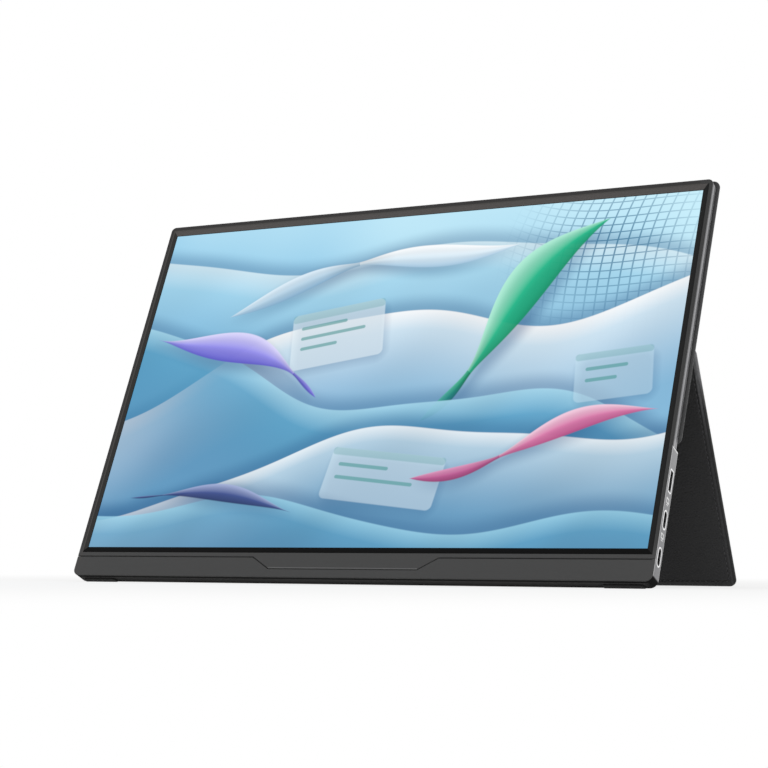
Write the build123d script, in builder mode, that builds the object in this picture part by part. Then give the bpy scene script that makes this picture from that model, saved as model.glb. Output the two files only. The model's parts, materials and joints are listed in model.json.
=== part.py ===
from build123d import *
import math
import os

os.makedirs("parts", exist_ok=True)

# Portable monitor standing on a folio stand, in millimetres.
# Z is up, the screen faces -Y, and the desk is the plane z = 0.
# Most pieces are drawn in the screen's own frame: x across, u up the screen from the
# lower edge of the chin, and depth measured back from the front face.

# Screen opening, and the rim round it, which together make the body
active_width = 344.7
active_height = 215.4
chin_height = 18.2
side_rim = 2.6
side_bevel = 2.55
top_rim = 3.0
top_bevel = 3.4
low_bevel = 2.8
rim_depth = 0.7
bevel_depth = 0.9
edge_chamfer = 0.3
body_width = active_width + 2 * (side_bevel + side_rim)
body_height = chin_height + active_height + top_bevel + top_rim

# Casing
slim_depth = 6.0
bay_depth = 10.0
bay_height = 76.0
wall = 1.6
low_corner = 4.0
top_corner = 3.0
lean = 24.5
panel_gap = 0.15

# Chin groove, with the tab of the bezel that dips into the chin
groove_height = 12.2
groove_gap = 0.4
tab_low = 5.3
tab_top_width = 115.0
tab_low_width = 92.0

# Display stack, from the front
glass_depth = 1.1
glass = 0.8
films = 0.3
guide = 0.5
reflector = 0.2
tray = 0.4
stack_border = 2.35
stack_low_border = 2.5
tray_clearance = 0.2
led_height = 1.8

# Rear panel of the slim part
panel = 1.0
shelf_width = 1.3
shelf = 1.1
fit_gap = 0.1
pad_width = 6.0
pad_length = 50.0
pad_inset = 37.5
pad_above_bay = 16.0
pad_below_top = 40.0
top_pad_inset = 47.5
top_pad_below = 12.0
tongue = 6.0
tongue_inset = 12.0
screw_edge = 4.4
screw_tab = 5.0
screw_above_bay = 22.0
screw_below_top = 18.0
attach_width = 210.0
attach_from_hinge = 9.0
attach_below_pad = 6.0
attach_plate_depth = 0.5

# Small screws
shank_radius = 0.7
hole_clearance = 0.05
head_radius = 1.5
head = 0.6
boss_radius = 2.1
post_outer_inset = 27.5
post_from_board = 4.2
post_above_lip = 2.6
counterbore = 0.8
post_screw_reach = 5.0

# Electronics in the bay: board screws and chips are placed from a board's lower left corner
board = 1.0
boss_height = 0.8
main_board_screws = [(5.0, 6.0), (5.0, 46.2), (66.0, 37.2), (60.0, 16.0)]
key_board_screws = [(13.0, 3.5), (13.0, 46.2)]
chips = [
    (50.0, 43.2, 14.0, 14.0),
    (20.0, 45.2, 9.0, 9.0),
    (14.0, 9.2, 7.0, 7.0),
    (46.0, 15.2, 6.0, 6.0),
]
chip_height = 1.2
main_board_width = 80.0
main_board_top = 70.0
key_board_width = 17.0
board_low = 8.8
board_side_gap = 0.7
port_depth = 5.0
port_recess = 0.3
port_gap = 0.2
socket_wall = 0.3
tongue_thickness = 0.7
usb_width = 8.9
usb_height = 3.2
usb_length = 7.0
usb_tongue_width = 6.7
usb_places = {"upper": 35.8, "lower": 15.2}
hdmi_width = 11.2
hdmi_height = 3.2
hdmi_length = 7.4
hdmi_place = 57.6
hdmi_taper = 1.3
hdmi_tongue_width = 8.0
jack_place = 19.0
jack_bore_radius = 1.75
jack_depth = 5.9
jack_width = 6.0
jack_length = 13.0
panel_board_height = 12.0
panel_board_depth = 0.6
panel_board_low_gap = 1.5
panel_board_left_gap = 60.0
cable = 0.2
cable_width = 22.0
cable_from_edge = 14.0
cable_margin = 3.0
cable_fold_gap = 1.0
cable_landing = 9.0
key_cable_width = 6.0
key_cable_drop = 2.0
key_cable_landing = 5.0
key_cable_rise = 1.0

# Ribs on the bay's back wall, between the boards
rib = 1.0
rib_margin = 6.0
rib_rows = 3
rib_columns = 4

# Speakers and their slots
speaker_width = 36.0
speaker_height = 15.0
speaker_from_board = 9.2
speaker_low = 5.0
speaker_thickness = 3.6
speaker_corner = 2.0
cone_rim = 2.0
cone_recess = 1.0
slot_length = 9.0
slot_width = 1.2
slot_pitch = 2.6
slot_count = 12

# Buttons on the left wall
button_depth = 2.0
button_proud = 0.6
button_slot_gap = 0.3
power_place = 62.0
power_length = 9.0
rocker_place = 43.0
rocker_length = 16.0
flange_extra = 1.4
flange = 0.5
flange_gap = 0.5
nib_radius = 0.6
nib_length = 0.5
switch_gap = 0.4
switch_length = 4.0
switch_half = 1.5
nib_inset = 2.5
ear = 0.45
ear_half = 1.0
ear_reach = 1.4
pivot_radius = 0.5
pivot_gap = 0.05

# Rubber feet on the bottom face
foot_length = 22.0
foot_width = 4.6
foot_back = 8.6
foot_proud = 0.9
foot_inset = 5.5
foot_corner = 1.5
sole_trim = 0.4

# Folio stand
leather = 0.5
stiffener = 2.0
turned_edge = 1.3
edge_radius = 1.2
overhang = 1.5
top_overhang = 3.0
folio_low = 80.0
folio_corner = 4.0
hinge_height = 140.0
bead_radius = 0.9
bead_gap = 0.2
bead_seat = 1.2
closed_gap = 0.2
leg_length = 142.0
leg_corner = 4.0
crease_width = 11.0
magnet_radius = 5.0
magnet = 1.5
magnet_side_inset = 15.0
magnet_end_inset = 10.0
magnet_columns = 4
magnet_rows = 2

lean_sin = math.sin(math.radians(lean))
lean_cos = math.cos(math.radians(lean))

# The sole of a foot is trimmed level, which sets the desk under the front edge.
foot_drop = foot_proud * lean_cos + foot_back * lean_sin - sole_trim

# The leg's lower edge meets the same desk, which sets its angle from the vertical.
folio_depth = slim_depth + 2 * leather + stiffener
folio_thickness = 2 * leather + stiffener
hinge_depth = folio_depth + bead_radius + bead_gap
hinge_rise = hinge_height * lean_cos - hinge_depth * lean_sin + foot_drop
hinge_reach = hinge_height * lean_sin + hinge_depth * lean_cos
leg_run = leg_length - edge_radius
leg_set_back = closed_gap + edge_radius
leg_angle = math.degrees(
    math.acos((hinge_rise - edge_radius) / math.hypot(leg_run, leg_set_back))
    - math.atan(leg_set_back / leg_run)
)
leg_sin = math.sin(math.radians(leg_angle))
leg_cos = math.cos(math.radians(leg_angle))
leg_reach = (
    hinge_reach
    + leg_run * leg_sin
    + (closed_gap + folio_thickness - edge_radius) * leg_cos
    + edge_radius
)
front_reach = edge_chamfer * lean_sin
print("leg opening at rest", round(lean + leg_angle, 3))
print("hinge axis y", round(hinge_reach - (front_reach + leg_reach) / 2, 3), "z", round(hinge_rise, 3))

# The model's origin is on the desk, under the middle of its bounding box.
up_screen = (0, lean_sin, lean_cos)
toward_viewer = (0, -lean_cos, lean_sin)
screen_plane = Plane(
    origin=(0, -(front_reach + leg_reach) / 2, foot_drop),
    x_dir=(1, 0, 0),
    z_dir=toward_viewer,
)
depth_axis = Axis(screen_plane.origin, -Vector(*toward_viewer))


def depth_plane(depth):
    return screen_plane.offset(-depth)


def point_at(x, height, depth):
    return screen_plane.from_local_coords(Vector(x, height, -depth))


def side_plane(side, height, depth):
    # On the right (side 1) or left (side -1) wall: local x runs up the screen.
    return Plane(
        origin=point_at(side * body_width / 2, height, depth),
        x_dir=up_screen,
        z_dir=(side, 0, 0),
    )


def outline(width, low, high, low_radius, high_radius):
    with BuildSketch() as face:
        with Locations((0, (low + high) / 2)):
            Rectangle(width, high - low)
        fillet(face.vertices().group_by(Axis.Y)[0], low_radius)
        fillet(face.vertices().group_by(Axis.Y)[-1], high_radius)
    return face.sketch


def below_groove(drop):
    # The chin's region, which steps down under the tab.
    half = body_width / 2 + wall
    with BuildSketch() as face:
        with BuildLine():
            Polyline(
                (-half, -wall),
                (-half, groove_height - drop),
                (-tab_top_width / 2, groove_height - drop),
                (-tab_low_width / 2, tab_low - drop),
                (tab_low_width / 2, tab_low - drop),
                (tab_top_width / 2, groove_height - drop),
                (half, groove_height - drop),
                (half, -wall),
                close=True,
            )
        make_face()
    return face.sketch


def box_between(x0, x1, u0, u1):
    with Locations(((x0 + x1) / 2, (u0 + u1) / 2)):
        Rectangle(abs(x1 - x0), abs(u1 - u0))


def save(builder, name):
    builder.part.label = name
    export_step(builder.part, f"parts/{name}.step")


half_width = body_width / 2
window_low = chin_height
window_high = chin_height + active_height
body_face = outline(body_width, 0, body_height, low_corner, top_corner)
inner_face = outline(
    body_width - 2 * wall, wall, body_height - wall, low_corner - wall, top_corner - wall
)
lip_inset = wall + fit_gap
lip_face = outline(
    body_width - 2 * lip_inset,
    lip_inset,
    body_height - lip_inset,
    low_corner - lip_inset,
    top_corner - lip_inset,
)
back_inner = bay_depth - wall

# Front bezel: thin rim, lip behind it, and a bevel that slopes down to the glass.
with BuildPart() as front_bezel:
    with BuildSketch(screen_plane):
        add(body_face)
        add(below_groove(0), mode=Mode.SUBTRACT)
    extrude(amount=-rim_depth)
    chamfer(front_bezel.faces().sort_by(depth_axis)[0].edges(), edge_chamfer)
    with BuildSketch(depth_plane(rim_depth)):
        add(lip_face)
        add(below_groove(0), mode=Mode.SUBTRACT)
    extrude(amount=rim_depth - glass_depth)
    with BuildSketch(screen_plane):
        box_between(
            -active_width / 2 - side_bevel,
            active_width / 2 + side_bevel,
            window_low - low_bevel,
            window_high + top_bevel,
        )
    with BuildSketch(depth_plane(bevel_depth)):
        box_between(-active_width / 2, active_width / 2, window_low, window_high)
    loft(ruled=True, mode=Mode.SUBTRACT)
    with BuildSketch(depth_plane(bevel_depth)):
        box_between(-active_width / 2, active_width / 2, window_low, window_high)
    extrude(amount=bevel_depth - glass_depth, mode=Mode.SUBTRACT)
save(front_bezel, "front_bezel")

# Chin trim: a plate below the groove, with screw posts that reach the bay's back wall.
post_height = lip_inset + boss_radius + post_above_lip
main_board_inset = wall + board_side_gap + main_board_width
post_places = [
    (side * (half_width - inset), post_height)
    for side in (-1, 1)
    for inset in (post_outer_inset, main_board_inset + post_from_board)
]
with BuildPart() as chin_trim:
    with BuildSketch(screen_plane):
        add(body_face)
        add(below_groove(groove_gap), mode=Mode.INTERSECT)
    extrude(amount=-rim_depth)
    chamfer(chin_trim.faces().sort_by(depth_axis)[0].edges(), edge_chamfer)
    with BuildSketch(depth_plane(rim_depth)):
        add(lip_face)
        add(below_groove(groove_gap), mode=Mode.INTERSECT)
    extrude(amount=rim_depth - glass_depth)
    with BuildSketch(depth_plane(glass_depth)):
        with Locations(*post_places):
            Circle(boss_radius)
    extrude(amount=glass_depth - back_inner)
    with BuildSketch(depth_plane(back_inner)):
        with Locations(*post_places):
            Circle(shank_radius + hole_clearance)
    extrude(amount=back_inner - 2 * glass_depth, mode=Mode.SUBTRACT)
save(chin_trim, "chin_trim")

# Side frame: the slim part's walls round three sides, with a shelf for the rear panel.
frame_low = bay_height + panel_gap
shelf_face = outline(
    body_width - 2 * (wall + shelf_width),
    0,
    body_height - wall - shelf_width,
    low_corner,
    top_corner - wall,
)
screw_places = [
    (side * (half_width - screw_edge), height)
    for side in (-1, 1)
    for height in (
        bay_height + screw_above_bay,
        (bay_height + body_height) / 2,
        body_height - screw_below_top,
    )
]
shelf_top = slim_depth - panel
with BuildPart() as side_frame:
    with BuildSketch(depth_plane(rim_depth)):
        add(body_face)
        add(inner_face, mode=Mode.SUBTRACT)
    extrude(amount=rim_depth - slim_depth)
    with BuildSketch(depth_plane(shelf_top)):
        add(inner_face)
        add(shelf_face, mode=Mode.SUBTRACT)
        with Locations(*screw_places):
            Rectangle(screw_tab, screw_tab)
    extrude(amount=shelf)
    with BuildSketch(depth_plane(slim_depth)):
        with Locations(*screw_places):
            Circle(shank_radius + hole_clearance)
    extrude(amount=2 * shelf, mode=Mode.SUBTRACT)
    split(bisect_by=Plane(point_at(0, frame_low, 0), z_dir=up_screen), keep=Keep.TOP)
save(side_frame, "side_frame")

# Rear panel: a sheet let into the side frame, with a tongue under the bay's step.
with BuildPart() as rear_panel:
    with BuildSketch(depth_plane(shelf_top)):
        add(
            outline(
                body_width - 2 * (wall + fit_gap),
                frame_low,
                body_height - wall - fit_gap,
                fit_gap,
                top_corner - wall,
            )
        )
    extrude(amount=-panel)
    with BuildSketch(depth_plane(shelf_top)):
        box_between(
            -half_width + tongue_inset, half_width - tongue_inset, bay_height - tongue, frame_low
        )
    extrude(amount=-panel + fit_gap)
    with BuildSketch(depth_plane(slim_depth)):
        with Locations(*screw_places):
            Circle(shank_radius + 2 * hole_clearance)
    extrude(amount=panel, mode=Mode.SUBTRACT)
    with BuildSketch(depth_plane(slim_depth)):
        with Locations(*screw_places):
            Circle(head_radius + hole_clearance)
    extrude(amount=head, mode=Mode.SUBTRACT)
save(rear_panel, "rear_panel")

# Lower housing: a moulded, stepped bay with ports, button slots, bosses and a grille.
board_back = back_inner - boss_height
board_front = board_back - board
main_board_right = half_width - wall - board_side_gap
main_board_left = half_width - main_board_inset
key_board_left = -main_board_right
key_board_right = key_board_left + key_board_width
main_screw_places = [(main_board_left + x, board_low + height) for x, height in main_board_screws]
key_screw_places = [(key_board_left + x, board_low + height) for x, height in key_board_screws]
board_screw_places = main_screw_places + key_screw_places
key_cable_high = main_board_top - key_cable_drop
rib_left = key_board_right + rib_margin
rib_right = main_board_left - rib_margin
rib_low = speaker_low + speaker_height + rib_margin
rib_high = key_cable_high - key_cable_width - rib_margin / 2
speaker_place = main_board_left - speaker_from_board - speaker_width / 2
pivot_x = half_width - wall - flange_gap - flange / 2
with BuildPart() as lower_housing:
    with BuildSketch(depth_plane(rim_depth)):
        add(body_face)
    extrude(amount=rim_depth - bay_depth)
    split(bisect_by=Plane(point_at(0, bay_height, 0), z_dir=up_screen), keep=Keep.BOTTOM)
    fillet(lower_housing.faces().sort_by(depth_axis)[-1].edges(), edge_radius)
    with BuildSketch(depth_plane(rim_depth)):
        add(inner_face)
    extrude(amount=rim_depth - slim_depth, mode=Mode.SUBTRACT)
    with BuildSketch(depth_plane(slim_depth)):
        add(
            outline(
                body_width - 2 * wall,
                wall,
                bay_height - wall,
                low_corner - wall,
                low_corner - wall,
            )
        )
    extrude(amount=slim_depth - back_inner, mode=Mode.SUBTRACT)
    # Bosses under the boards
    with BuildSketch(depth_plane(board_back)):
        with Locations(*board_screw_places):
            Circle(boss_radius)
            Circle(shank_radius + hole_clearance, mode=Mode.SUBTRACT)
    extrude(amount=-boss_height)
    # Stiffening ribs between the speakers and above them
    with BuildSketch(depth_plane(board_back)):
        with Locations(((rib_left + rib_right) / 2, (rib_low + rib_high) / 2)):
            with GridLocations(0, (rib_high - rib_low) / (rib_rows - 1), 1, rib_rows):
                Rectangle(rib_right - rib_left + rib, rib)
            with GridLocations((rib_right - rib_left) / (rib_columns - 1), 0, rib_columns, 1):
                Rectangle(rib, rib_high - rib_low + rib)
    extrude(amount=-boss_height)
    # Speaker slots
    for side in (-1, 1):
        with BuildSketch(depth_plane(bay_depth)):
            with Locations((side * speaker_place, speaker_low + speaker_height / 2)):
                with GridLocations(slot_pitch, 0, slot_count, 1):
                    SlotOverall(slot_length, slot_width, rotation=90)
        extrude(amount=wall, mode=Mode.SUBTRACT)
    # Counterbored holes for the housing screws
    with BuildSketch(depth_plane(bay_depth)):
        with Locations(*post_places):
            Circle(shank_radius + 2 * hole_clearance)
    extrude(amount=wall, mode=Mode.SUBTRACT)
    with BuildSketch(depth_plane(bay_depth)):
        with Locations(*post_places):
            Circle(head_radius + hole_clearance)
    extrude(amount=counterbore, mode=Mode.SUBTRACT)
    # Port openings in the right wall
    for place in usb_places.values():
        with BuildSketch(side_plane(1, place, port_depth)):
            SlotOverall(usb_width + 2 * port_gap, usb_height + 2 * port_gap)
        extrude(amount=-wall, mode=Mode.SUBTRACT)
    with BuildSketch(side_plane(1, hdmi_place, port_depth)):
        RectangleRounded(hdmi_width + 2 * port_gap, hdmi_height + 2 * port_gap, 3 * port_gap)
    extrude(amount=-wall, mode=Mode.SUBTRACT)
    # Headphone opening and button slots in the left wall
    with BuildSketch(side_plane(-1, jack_place, jack_depth)):
        Circle(jack_bore_radius + 3 * port_gap)
    extrude(amount=-wall, mode=Mode.SUBTRACT)
    for place, length in ((power_place, power_length), (rocker_place, rocker_length)):
        with BuildSketch(side_plane(-1, place, port_depth)):
            SlotOverall(length + 2 * button_slot_gap, button_depth + 2 * button_slot_gap)
        extrude(amount=-wall, mode=Mode.SUBTRACT)
    # Ears that hold the rocker's pivot
    for depth in (
        port_depth - button_depth / 2 - ear - hole_clearance,
        port_depth + button_depth / 2 + hole_clearance,
    ):
        with BuildSketch(depth_plane(depth)):
            box_between(
                -half_width + wall,
                -pivot_x + ear_reach,
                rocker_place - ear_half,
                rocker_place + ear_half,
            )
        extrude(amount=-ear)
    with BuildSketch(depth_plane(port_depth - button_depth)):
        with Locations((-pivot_x, rocker_place)):
            Circle(pivot_radius + pivot_gap)
    extrude(amount=-2 * button_depth, mode=Mode.SUBTRACT)
save(lower_housing, "lower_housing")

# Display stack
stack_half = active_width / 2 + stack_border
stack_low = window_low - stack_low_border
stack_high = window_high + stack_border
tray_front = glass_depth + glass
films_back = tray_front + films
guide_back = films_back + guide
reflector_back = guide_back + reflector
stack_back = reflector_back + tray
tray_inner_half = stack_half - tray
with BuildPart() as lcd_cell:
    with BuildSketch(depth_plane(glass_depth)):
        box_between(-stack_half, stack_half, stack_low, stack_high)
    extrude(amount=-glass)
save(lcd_cell, "lcd_cell")

with BuildPart() as panel_tray:
    with BuildSketch(depth_plane(tray_front)):
        box_between(-stack_half, stack_half, stack_low, stack_high)
    extrude(amount=tray_front - stack_back)
    with BuildSketch(depth_plane(tray_front)):
        box_between(
            -tray_inner_half, tray_inner_half, stack_low + tray, stack_high - tray
        )
    extrude(amount=tray_front - reflector_back, mode=Mode.SUBTRACT)
save(panel_tray, "panel_tray")

sheet_half = tray_inner_half - tray_clearance
sheet_low = stack_low + tray + tray_clearance
sheet_high = stack_high - tray - tray_clearance
with BuildPart() as optical_films:
    with BuildSketch(depth_plane(tray_front)):
        box_between(-sheet_half, sheet_half, sheet_low, sheet_high)
    extrude(amount=-films)
save(optical_films, "optical_films")

guide_low = sheet_low + led_height + tray_clearance
with BuildPart() as light_guide:
    with BuildSketch(depth_plane(films_back)):
        box_between(-sheet_half, sheet_half, guide_low, sheet_high)
    extrude(amount=-guide)
save(light_guide, "light_guide")

with BuildPart() as led_strip:
    with BuildSketch(depth_plane(films_back)):
        box_between(-sheet_half, sheet_half, sheet_low, sheet_low + led_height)
    extrude(amount=-guide)
save(led_strip, "led_strip")

with BuildPart() as reflector_sheet:
    with BuildSketch(depth_plane(guide_back)):
        box_between(-sheet_half, sheet_half, sheet_low, sheet_high)
    extrude(amount=-reflector)
save(reflector_sheet, "reflector_sheet")

# Foam pads between the tray and the rear panel
with BuildPart() as panel_pads:
    with BuildSketch(depth_plane(stack_back)):
        for side in (-1, 1):
            for height in (bay_height + pad_above_bay, body_height - pad_below_top):
                with Locations((side * (half_width - pad_inset), height)):
                    Rectangle(pad_length, pad_width)
        with Locations((0, body_height - top_pad_below)):
            Rectangle(body_width - 2 * top_pad_inset, pad_width)
    extrude(amount=stack_back - shelf_top)
save(panel_pads, "panel_pads")

attach_low = hinge_height + attach_from_hinge
attach_high = body_height - top_pad_below - pad_width / 2 - attach_below_pad
attach_height = attach_high - attach_low
attach_mid = (attach_low + attach_high) / 2
with BuildPart() as attach_plate:
    with BuildSketch(depth_plane(shelf_top)):
        with Locations((0, attach_mid)):
            RectangleRounded(attach_width, attach_height, top_corner)
    extrude(amount=attach_plate_depth)
save(attach_plate, "attach_plate")

# Panel board behind the tray, and the flat cable from it to the main board
panel_board_low = stack_low + panel_board_low_gap
cable_left = main_board_left + cable_from_edge
cable_right = cable_left + cable_width
cable_fold = panel_board_low + panel_board_height + cable_fold_gap
panel_board_back = stack_back + panel_board_depth
with BuildPart() as panel_board:
    with BuildSketch(depth_plane(stack_back)):
        box_between(
            -main_board_right + panel_board_left_gap,
            cable_right + cable_margin,
            panel_board_low,
            panel_board_low + panel_board_height,
        )
    extrude(amount=-panel_board_depth)
save(panel_board, "panel_board")

with BuildPart() as panel_cable:
    with BuildSketch(depth_plane(panel_board_back)):
        box_between(
            cable_left, cable_right, panel_board_low + cable_margin, cable_fold + cable
        )
    extrude(amount=-cable)
    with BuildSketch(depth_plane(panel_board_back)):
        box_between(cable_left, cable_right, cable_fold, cable_fold + cable)
    extrude(amount=panel_board_back - board_front)
    with BuildSketch(depth_plane(board_front)):
        box_between(cable_left, cable_right, cable_fold, cable_fold + cable_landing)
    extrude(amount=cable)
save(panel_cable, "panel_cable")

# Main board and key board
with BuildPart() as main_board:
    with BuildSketch(depth_plane(board_front)):
        box_between(main_board_left, main_board_right, board_low, main_board_top)
        with Locations(*main_screw_places):
            Circle(shank_radius + 2 * hole_clearance, mode=Mode.SUBTRACT)
    extrude(amount=-board)
save(main_board, "main_board")

with BuildPart() as board_chips:
    with BuildSketch(depth_plane(board_front)):
        for x, height, width, length in chips:
            with Locations((main_board_left + x, board_low + height)):
                Rectangle(width, length)
    extrude(amount=chip_height)
save(board_chips, "board_chips")

with BuildPart() as key_board:
    with BuildSketch(depth_plane(board_front)):
        box_between(key_board_left, key_board_right, board_low, main_board_top)
        with Locations(*key_screw_places):
            Circle(shank_radius + 2 * hole_clearance, mode=Mode.SUBTRACT)
        with Locations((-half_width + jack_length / 2, jack_place)):
            Rectangle(jack_length + 2 * fit_gap, jack_width + 2 * fit_gap, mode=Mode.SUBTRACT)
    extrude(amount=-board)
save(key_board, "key_board")

# Headphone socket, sunk in the key board's notch and seated on the bay's back wall
with BuildPart() as headphone_socket:
    with BuildSketch(depth_plane(back_inner)):
        box_between(
            -half_width + wall + fit_gap,
            -half_width + jack_length,
            jack_place - jack_width / 2,
            jack_place + jack_width / 2,
        )
    extrude(amount=2 * (back_inner - jack_depth))
    with BuildSketch(side_plane(-1, jack_place, jack_depth).offset(-port_recess)):
        Circle(jack_bore_radius + 2 * port_gap)
    extrude(amount=port_recess - wall - fit_gap)
    with BuildSketch(side_plane(-1, jack_place, jack_depth)):
        Circle(jack_bore_radius)
    extrude(amount=-jack_length + socket_wall, mode=Mode.SUBTRACT)
save(headphone_socket, "headphone_socket")


def slot_face(width, height):
    with BuildSketch() as face:
        SlotOverall(width, height)
    return face.sketch


def hdmi_face(inset):
    # A flat-topped plug shape whose lower corners are drawn in.
    half = hdmi_width / 2 - inset
    top = hdmi_height / 2 - inset
    with BuildSketch() as face:
        with BuildLine():
            Polyline(
                (-half, top),
                (half, top),
                (half, -top + hdmi_taper),
                (half - hdmi_taper, -top),
                (-half + hdmi_taper, -top),
                (-half, -top + hdmi_taper),
                close=True,
            )
        make_face()
    return face.sketch


def socket(outer, inner, length, place):
    # A drawn metal shell, closed at its inner end, flush behind the wall's face.
    mouth = side_plane(1, place, port_depth).offset(-port_recess)
    with BuildPart() as shell:
        with BuildSketch(mouth):
            add(outer)
        extrude(amount=-length)
        with BuildSketch(mouth):
            add(inner)
        extrude(amount=socket_wall - length, mode=Mode.SUBTRACT)
    return shell


def tongue_of(place, length, width):
    # The contact tongue stands on the shell's closed end, inside the shell.
    root = side_plane(1, place, port_depth).offset(-port_recess - length + socket_wall)
    with BuildPart() as blade:
        with BuildSketch(root):
            Rectangle(width, tongue_thickness)
        extrude(amount=length - socket_wall - 3 * port_recess)
        chamfer(blade.faces().sort_by(Axis.X)[-1].edges(), tongue_thickness / 4)
    return blade


usb_outer = slot_face(usb_width, usb_height)
usb_inner = slot_face(usb_width - 2 * socket_wall, usb_height - 2 * socket_wall)
for row, place in usb_places.items():
    save(socket(usb_outer, usb_inner, usb_length, place), f"usb_c_socket_{row}")
    save(tongue_of(place, usb_length, usb_tongue_width), f"usb_c_tongue_{row}")
save(
    socket(hdmi_face(0), hdmi_face(socket_wall), hdmi_length, hdmi_place),
    "mini_hdmi_socket",
)
save(tongue_of(hdmi_place, hdmi_length, hdmi_tongue_width), "mini_hdmi_tongue")

# Side switches on the key board, pressed by the buttons' nibs
nib_end = half_width - wall - flange_gap - flange - nib_length
rocker_reach = rocker_length / 2 - nib_inset
switch_places = [power_place, rocker_place - rocker_reach, rocker_place + rocker_reach]
with BuildPart() as key_switches:
    with BuildSketch(depth_plane(board_front)):
        for place in switch_places:
            box_between(
                -nib_end + switch_gap,
                -nib_end + switch_gap + switch_length,
                place - switch_half,
                place + switch_half,
            )
    extrude(amount=2 * (board_front - port_depth))
save(key_switches, "key_switches")


def button(place, length, nibs, nib):
    # A cap proud of the wall, a flange behind it, and a nib for each switch.
    outside = side_plane(-1, place, port_depth).offset(button_proud)
    flange_out = side_plane(-1, place, port_depth).offset(-wall - flange_gap)
    with BuildPart() as key:
        with BuildSketch(outside):
            SlotOverall(length, button_depth)
        extrude(amount=-button_proud - wall - flange_gap)
        fillet(key.faces().sort_by(Axis.X)[0].edges(), button_proud / 3)
        with BuildSketch(flange_out):
            Rectangle(length + 2 * flange_extra, button_depth)
        extrude(amount=-flange)
        with BuildSketch(flange_out.offset(-flange)):
            for reach in nibs:
                with Locations((reach, 0)):
                    Circle(nib_radius)
        extrude(amount=-nib)
    return key


save(button(power_place, power_length, [0], nib_length), "power_button")

rocker_key = button(rocker_place, rocker_length, [-rocker_reach, rocker_reach], nib_length)
pin_half = button_depth / 2 + ear + hole_clearance
with BuildPart() as menu_rocker:
    add(rocker_key.part)
    with BuildSketch(depth_plane(port_depth - pin_half)):
        with Locations((-pivot_x, rocker_place)):
            Circle(pivot_radius)
    extrude(amount=-2 * pin_half)
save(menu_rocker, "menu_rocker")

# Flat cable from the key board to the main board, laid on the bay's back wall
key_cable_plane = Plane(
    point_at(0, key_cable_high - key_cable_width, 0), x_dir=(1, 0, 0), z_dir=up_screen
)
key_end = key_board_right - key_cable_landing
key_drop = key_board_right + key_cable_rise
main_rise = main_board_left - key_cable_rise
main_end = main_board_left + key_cable_landing
with BuildPart() as key_cable:
    with BuildSketch(key_cable_plane):
        with BuildLine():
            Polyline(
                (key_end, board_front),
                (key_drop, board_front),
                (key_drop, back_inner),
                (main_rise, back_inner),
                (main_rise, board_front),
                (main_end, board_front),
                (main_end, board_front - cable),
                (main_rise - cable, board_front - cable),
                (main_rise - cable, back_inner - cable),
                (key_drop + cable, back_inner - cable),
                (key_drop + cable, board_front - cable),
                (key_end, board_front - cable),
                close=True,
            )
        make_face()
    extrude(amount=key_cable_width)
save(key_cable, "key_cable")

# Speakers over their slots, seated on the bay's back wall
for side, name in ((-1, "left_speaker"), (1, "right_speaker")):
    with BuildPart() as speaker:
        with BuildSketch(depth_plane(back_inner)):
            with Locations((side * speaker_place, speaker_low + speaker_height / 2)):
                RectangleRounded(speaker_width, speaker_height, speaker_corner)
        extrude(amount=speaker_thickness)
        with BuildSketch(depth_plane(back_inner)):
            with Locations((side * speaker_place, speaker_low + speaker_height / 2)):
                SlotOverall(speaker_width - 2 * cone_rim, speaker_height - 2 * cone_rim)
        extrude(amount=cone_recess, mode=Mode.SUBTRACT)
    save(speaker, name)


def screws(places, seat, length, head_height):
    # Pan-head screws driven from the back (positive length) or the front (negative).
    with BuildPart() as group:
        with BuildSketch(depth_plane(seat)):
            with Locations(*places):
                Circle(head_radius)
        extrude(amount=math.copysign(head_height, -length))
        with BuildSketch(depth_plane(seat)):
            with Locations(*places):
                Circle(shank_radius)
        extrude(amount=length)
    return group


save(screws(screw_places, slim_depth - head, panel - head + shelf, head), "panel_screws")
save(
    screws(post_places, bay_depth - counterbore, post_screw_reach, head),
    "housing_screws",
)
save(screws(board_screw_places, board_front, -board - boss_height, head), "board_screws")

# Rubber feet: pads whose soles are trimmed level with the desk
for side, name in ((-1, "left_foot"), (1, "right_foot")):
    mid = side * (half_width - foot_inset - foot_length / 2)
    with BuildPart() as foot:
        with BuildSketch(
            Plane(point_at(mid, 0, foot_back - foot_width / 2), x_dir=(1, 0, 0), z_dir=up_screen)
        ):
            RectangleRounded(foot_length, foot_width, foot_corner)
        extrude(amount=-foot_proud)
        split(bisect_by=Plane.XY, keep=Keep.TOP)
    save(foot, name)


# Folio stand: each panel is a leather cover turned over its edges, a board and a lining
def folio_panel(front, low, high, low_radius, high_radius):
    # front is the plane of the lining's face, with the panel behind it.
    outer = outline(body_width + 2 * overhang, low, high, low_radius, high_radius)
    pocket = outline(
        body_width + 2 * (overhang - turned_edge),
        low + turned_edge,
        high - turned_edge,
        max(low_radius - turned_edge, leather),
        max(high_radius - turned_edge, leather),
    )
    into = Axis(front.origin, -front.z_dir)
    with BuildPart() as cover:
        with BuildSketch(front):
            add(outer)
        extrude(amount=-folio_thickness)
        fillet(
            cover.faces().sort_by(into)[0].edges() + cover.faces().sort_by(into)[-1].edges(),
            edge_radius,
        )
        with BuildSketch(front):
            add(pocket)
        extrude(amount=leather - folio_thickness, mode=Mode.SUBTRACT)
    with BuildPart() as lining:
        with BuildSketch(front):
            add(pocket)
        extrude(amount=-leather)
    with BuildPart() as stiff:
        with BuildSketch(front.offset(-leather)):
            add(pocket)
        extrude(amount=-stiffener)
    return cover, lining, stiff


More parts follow.
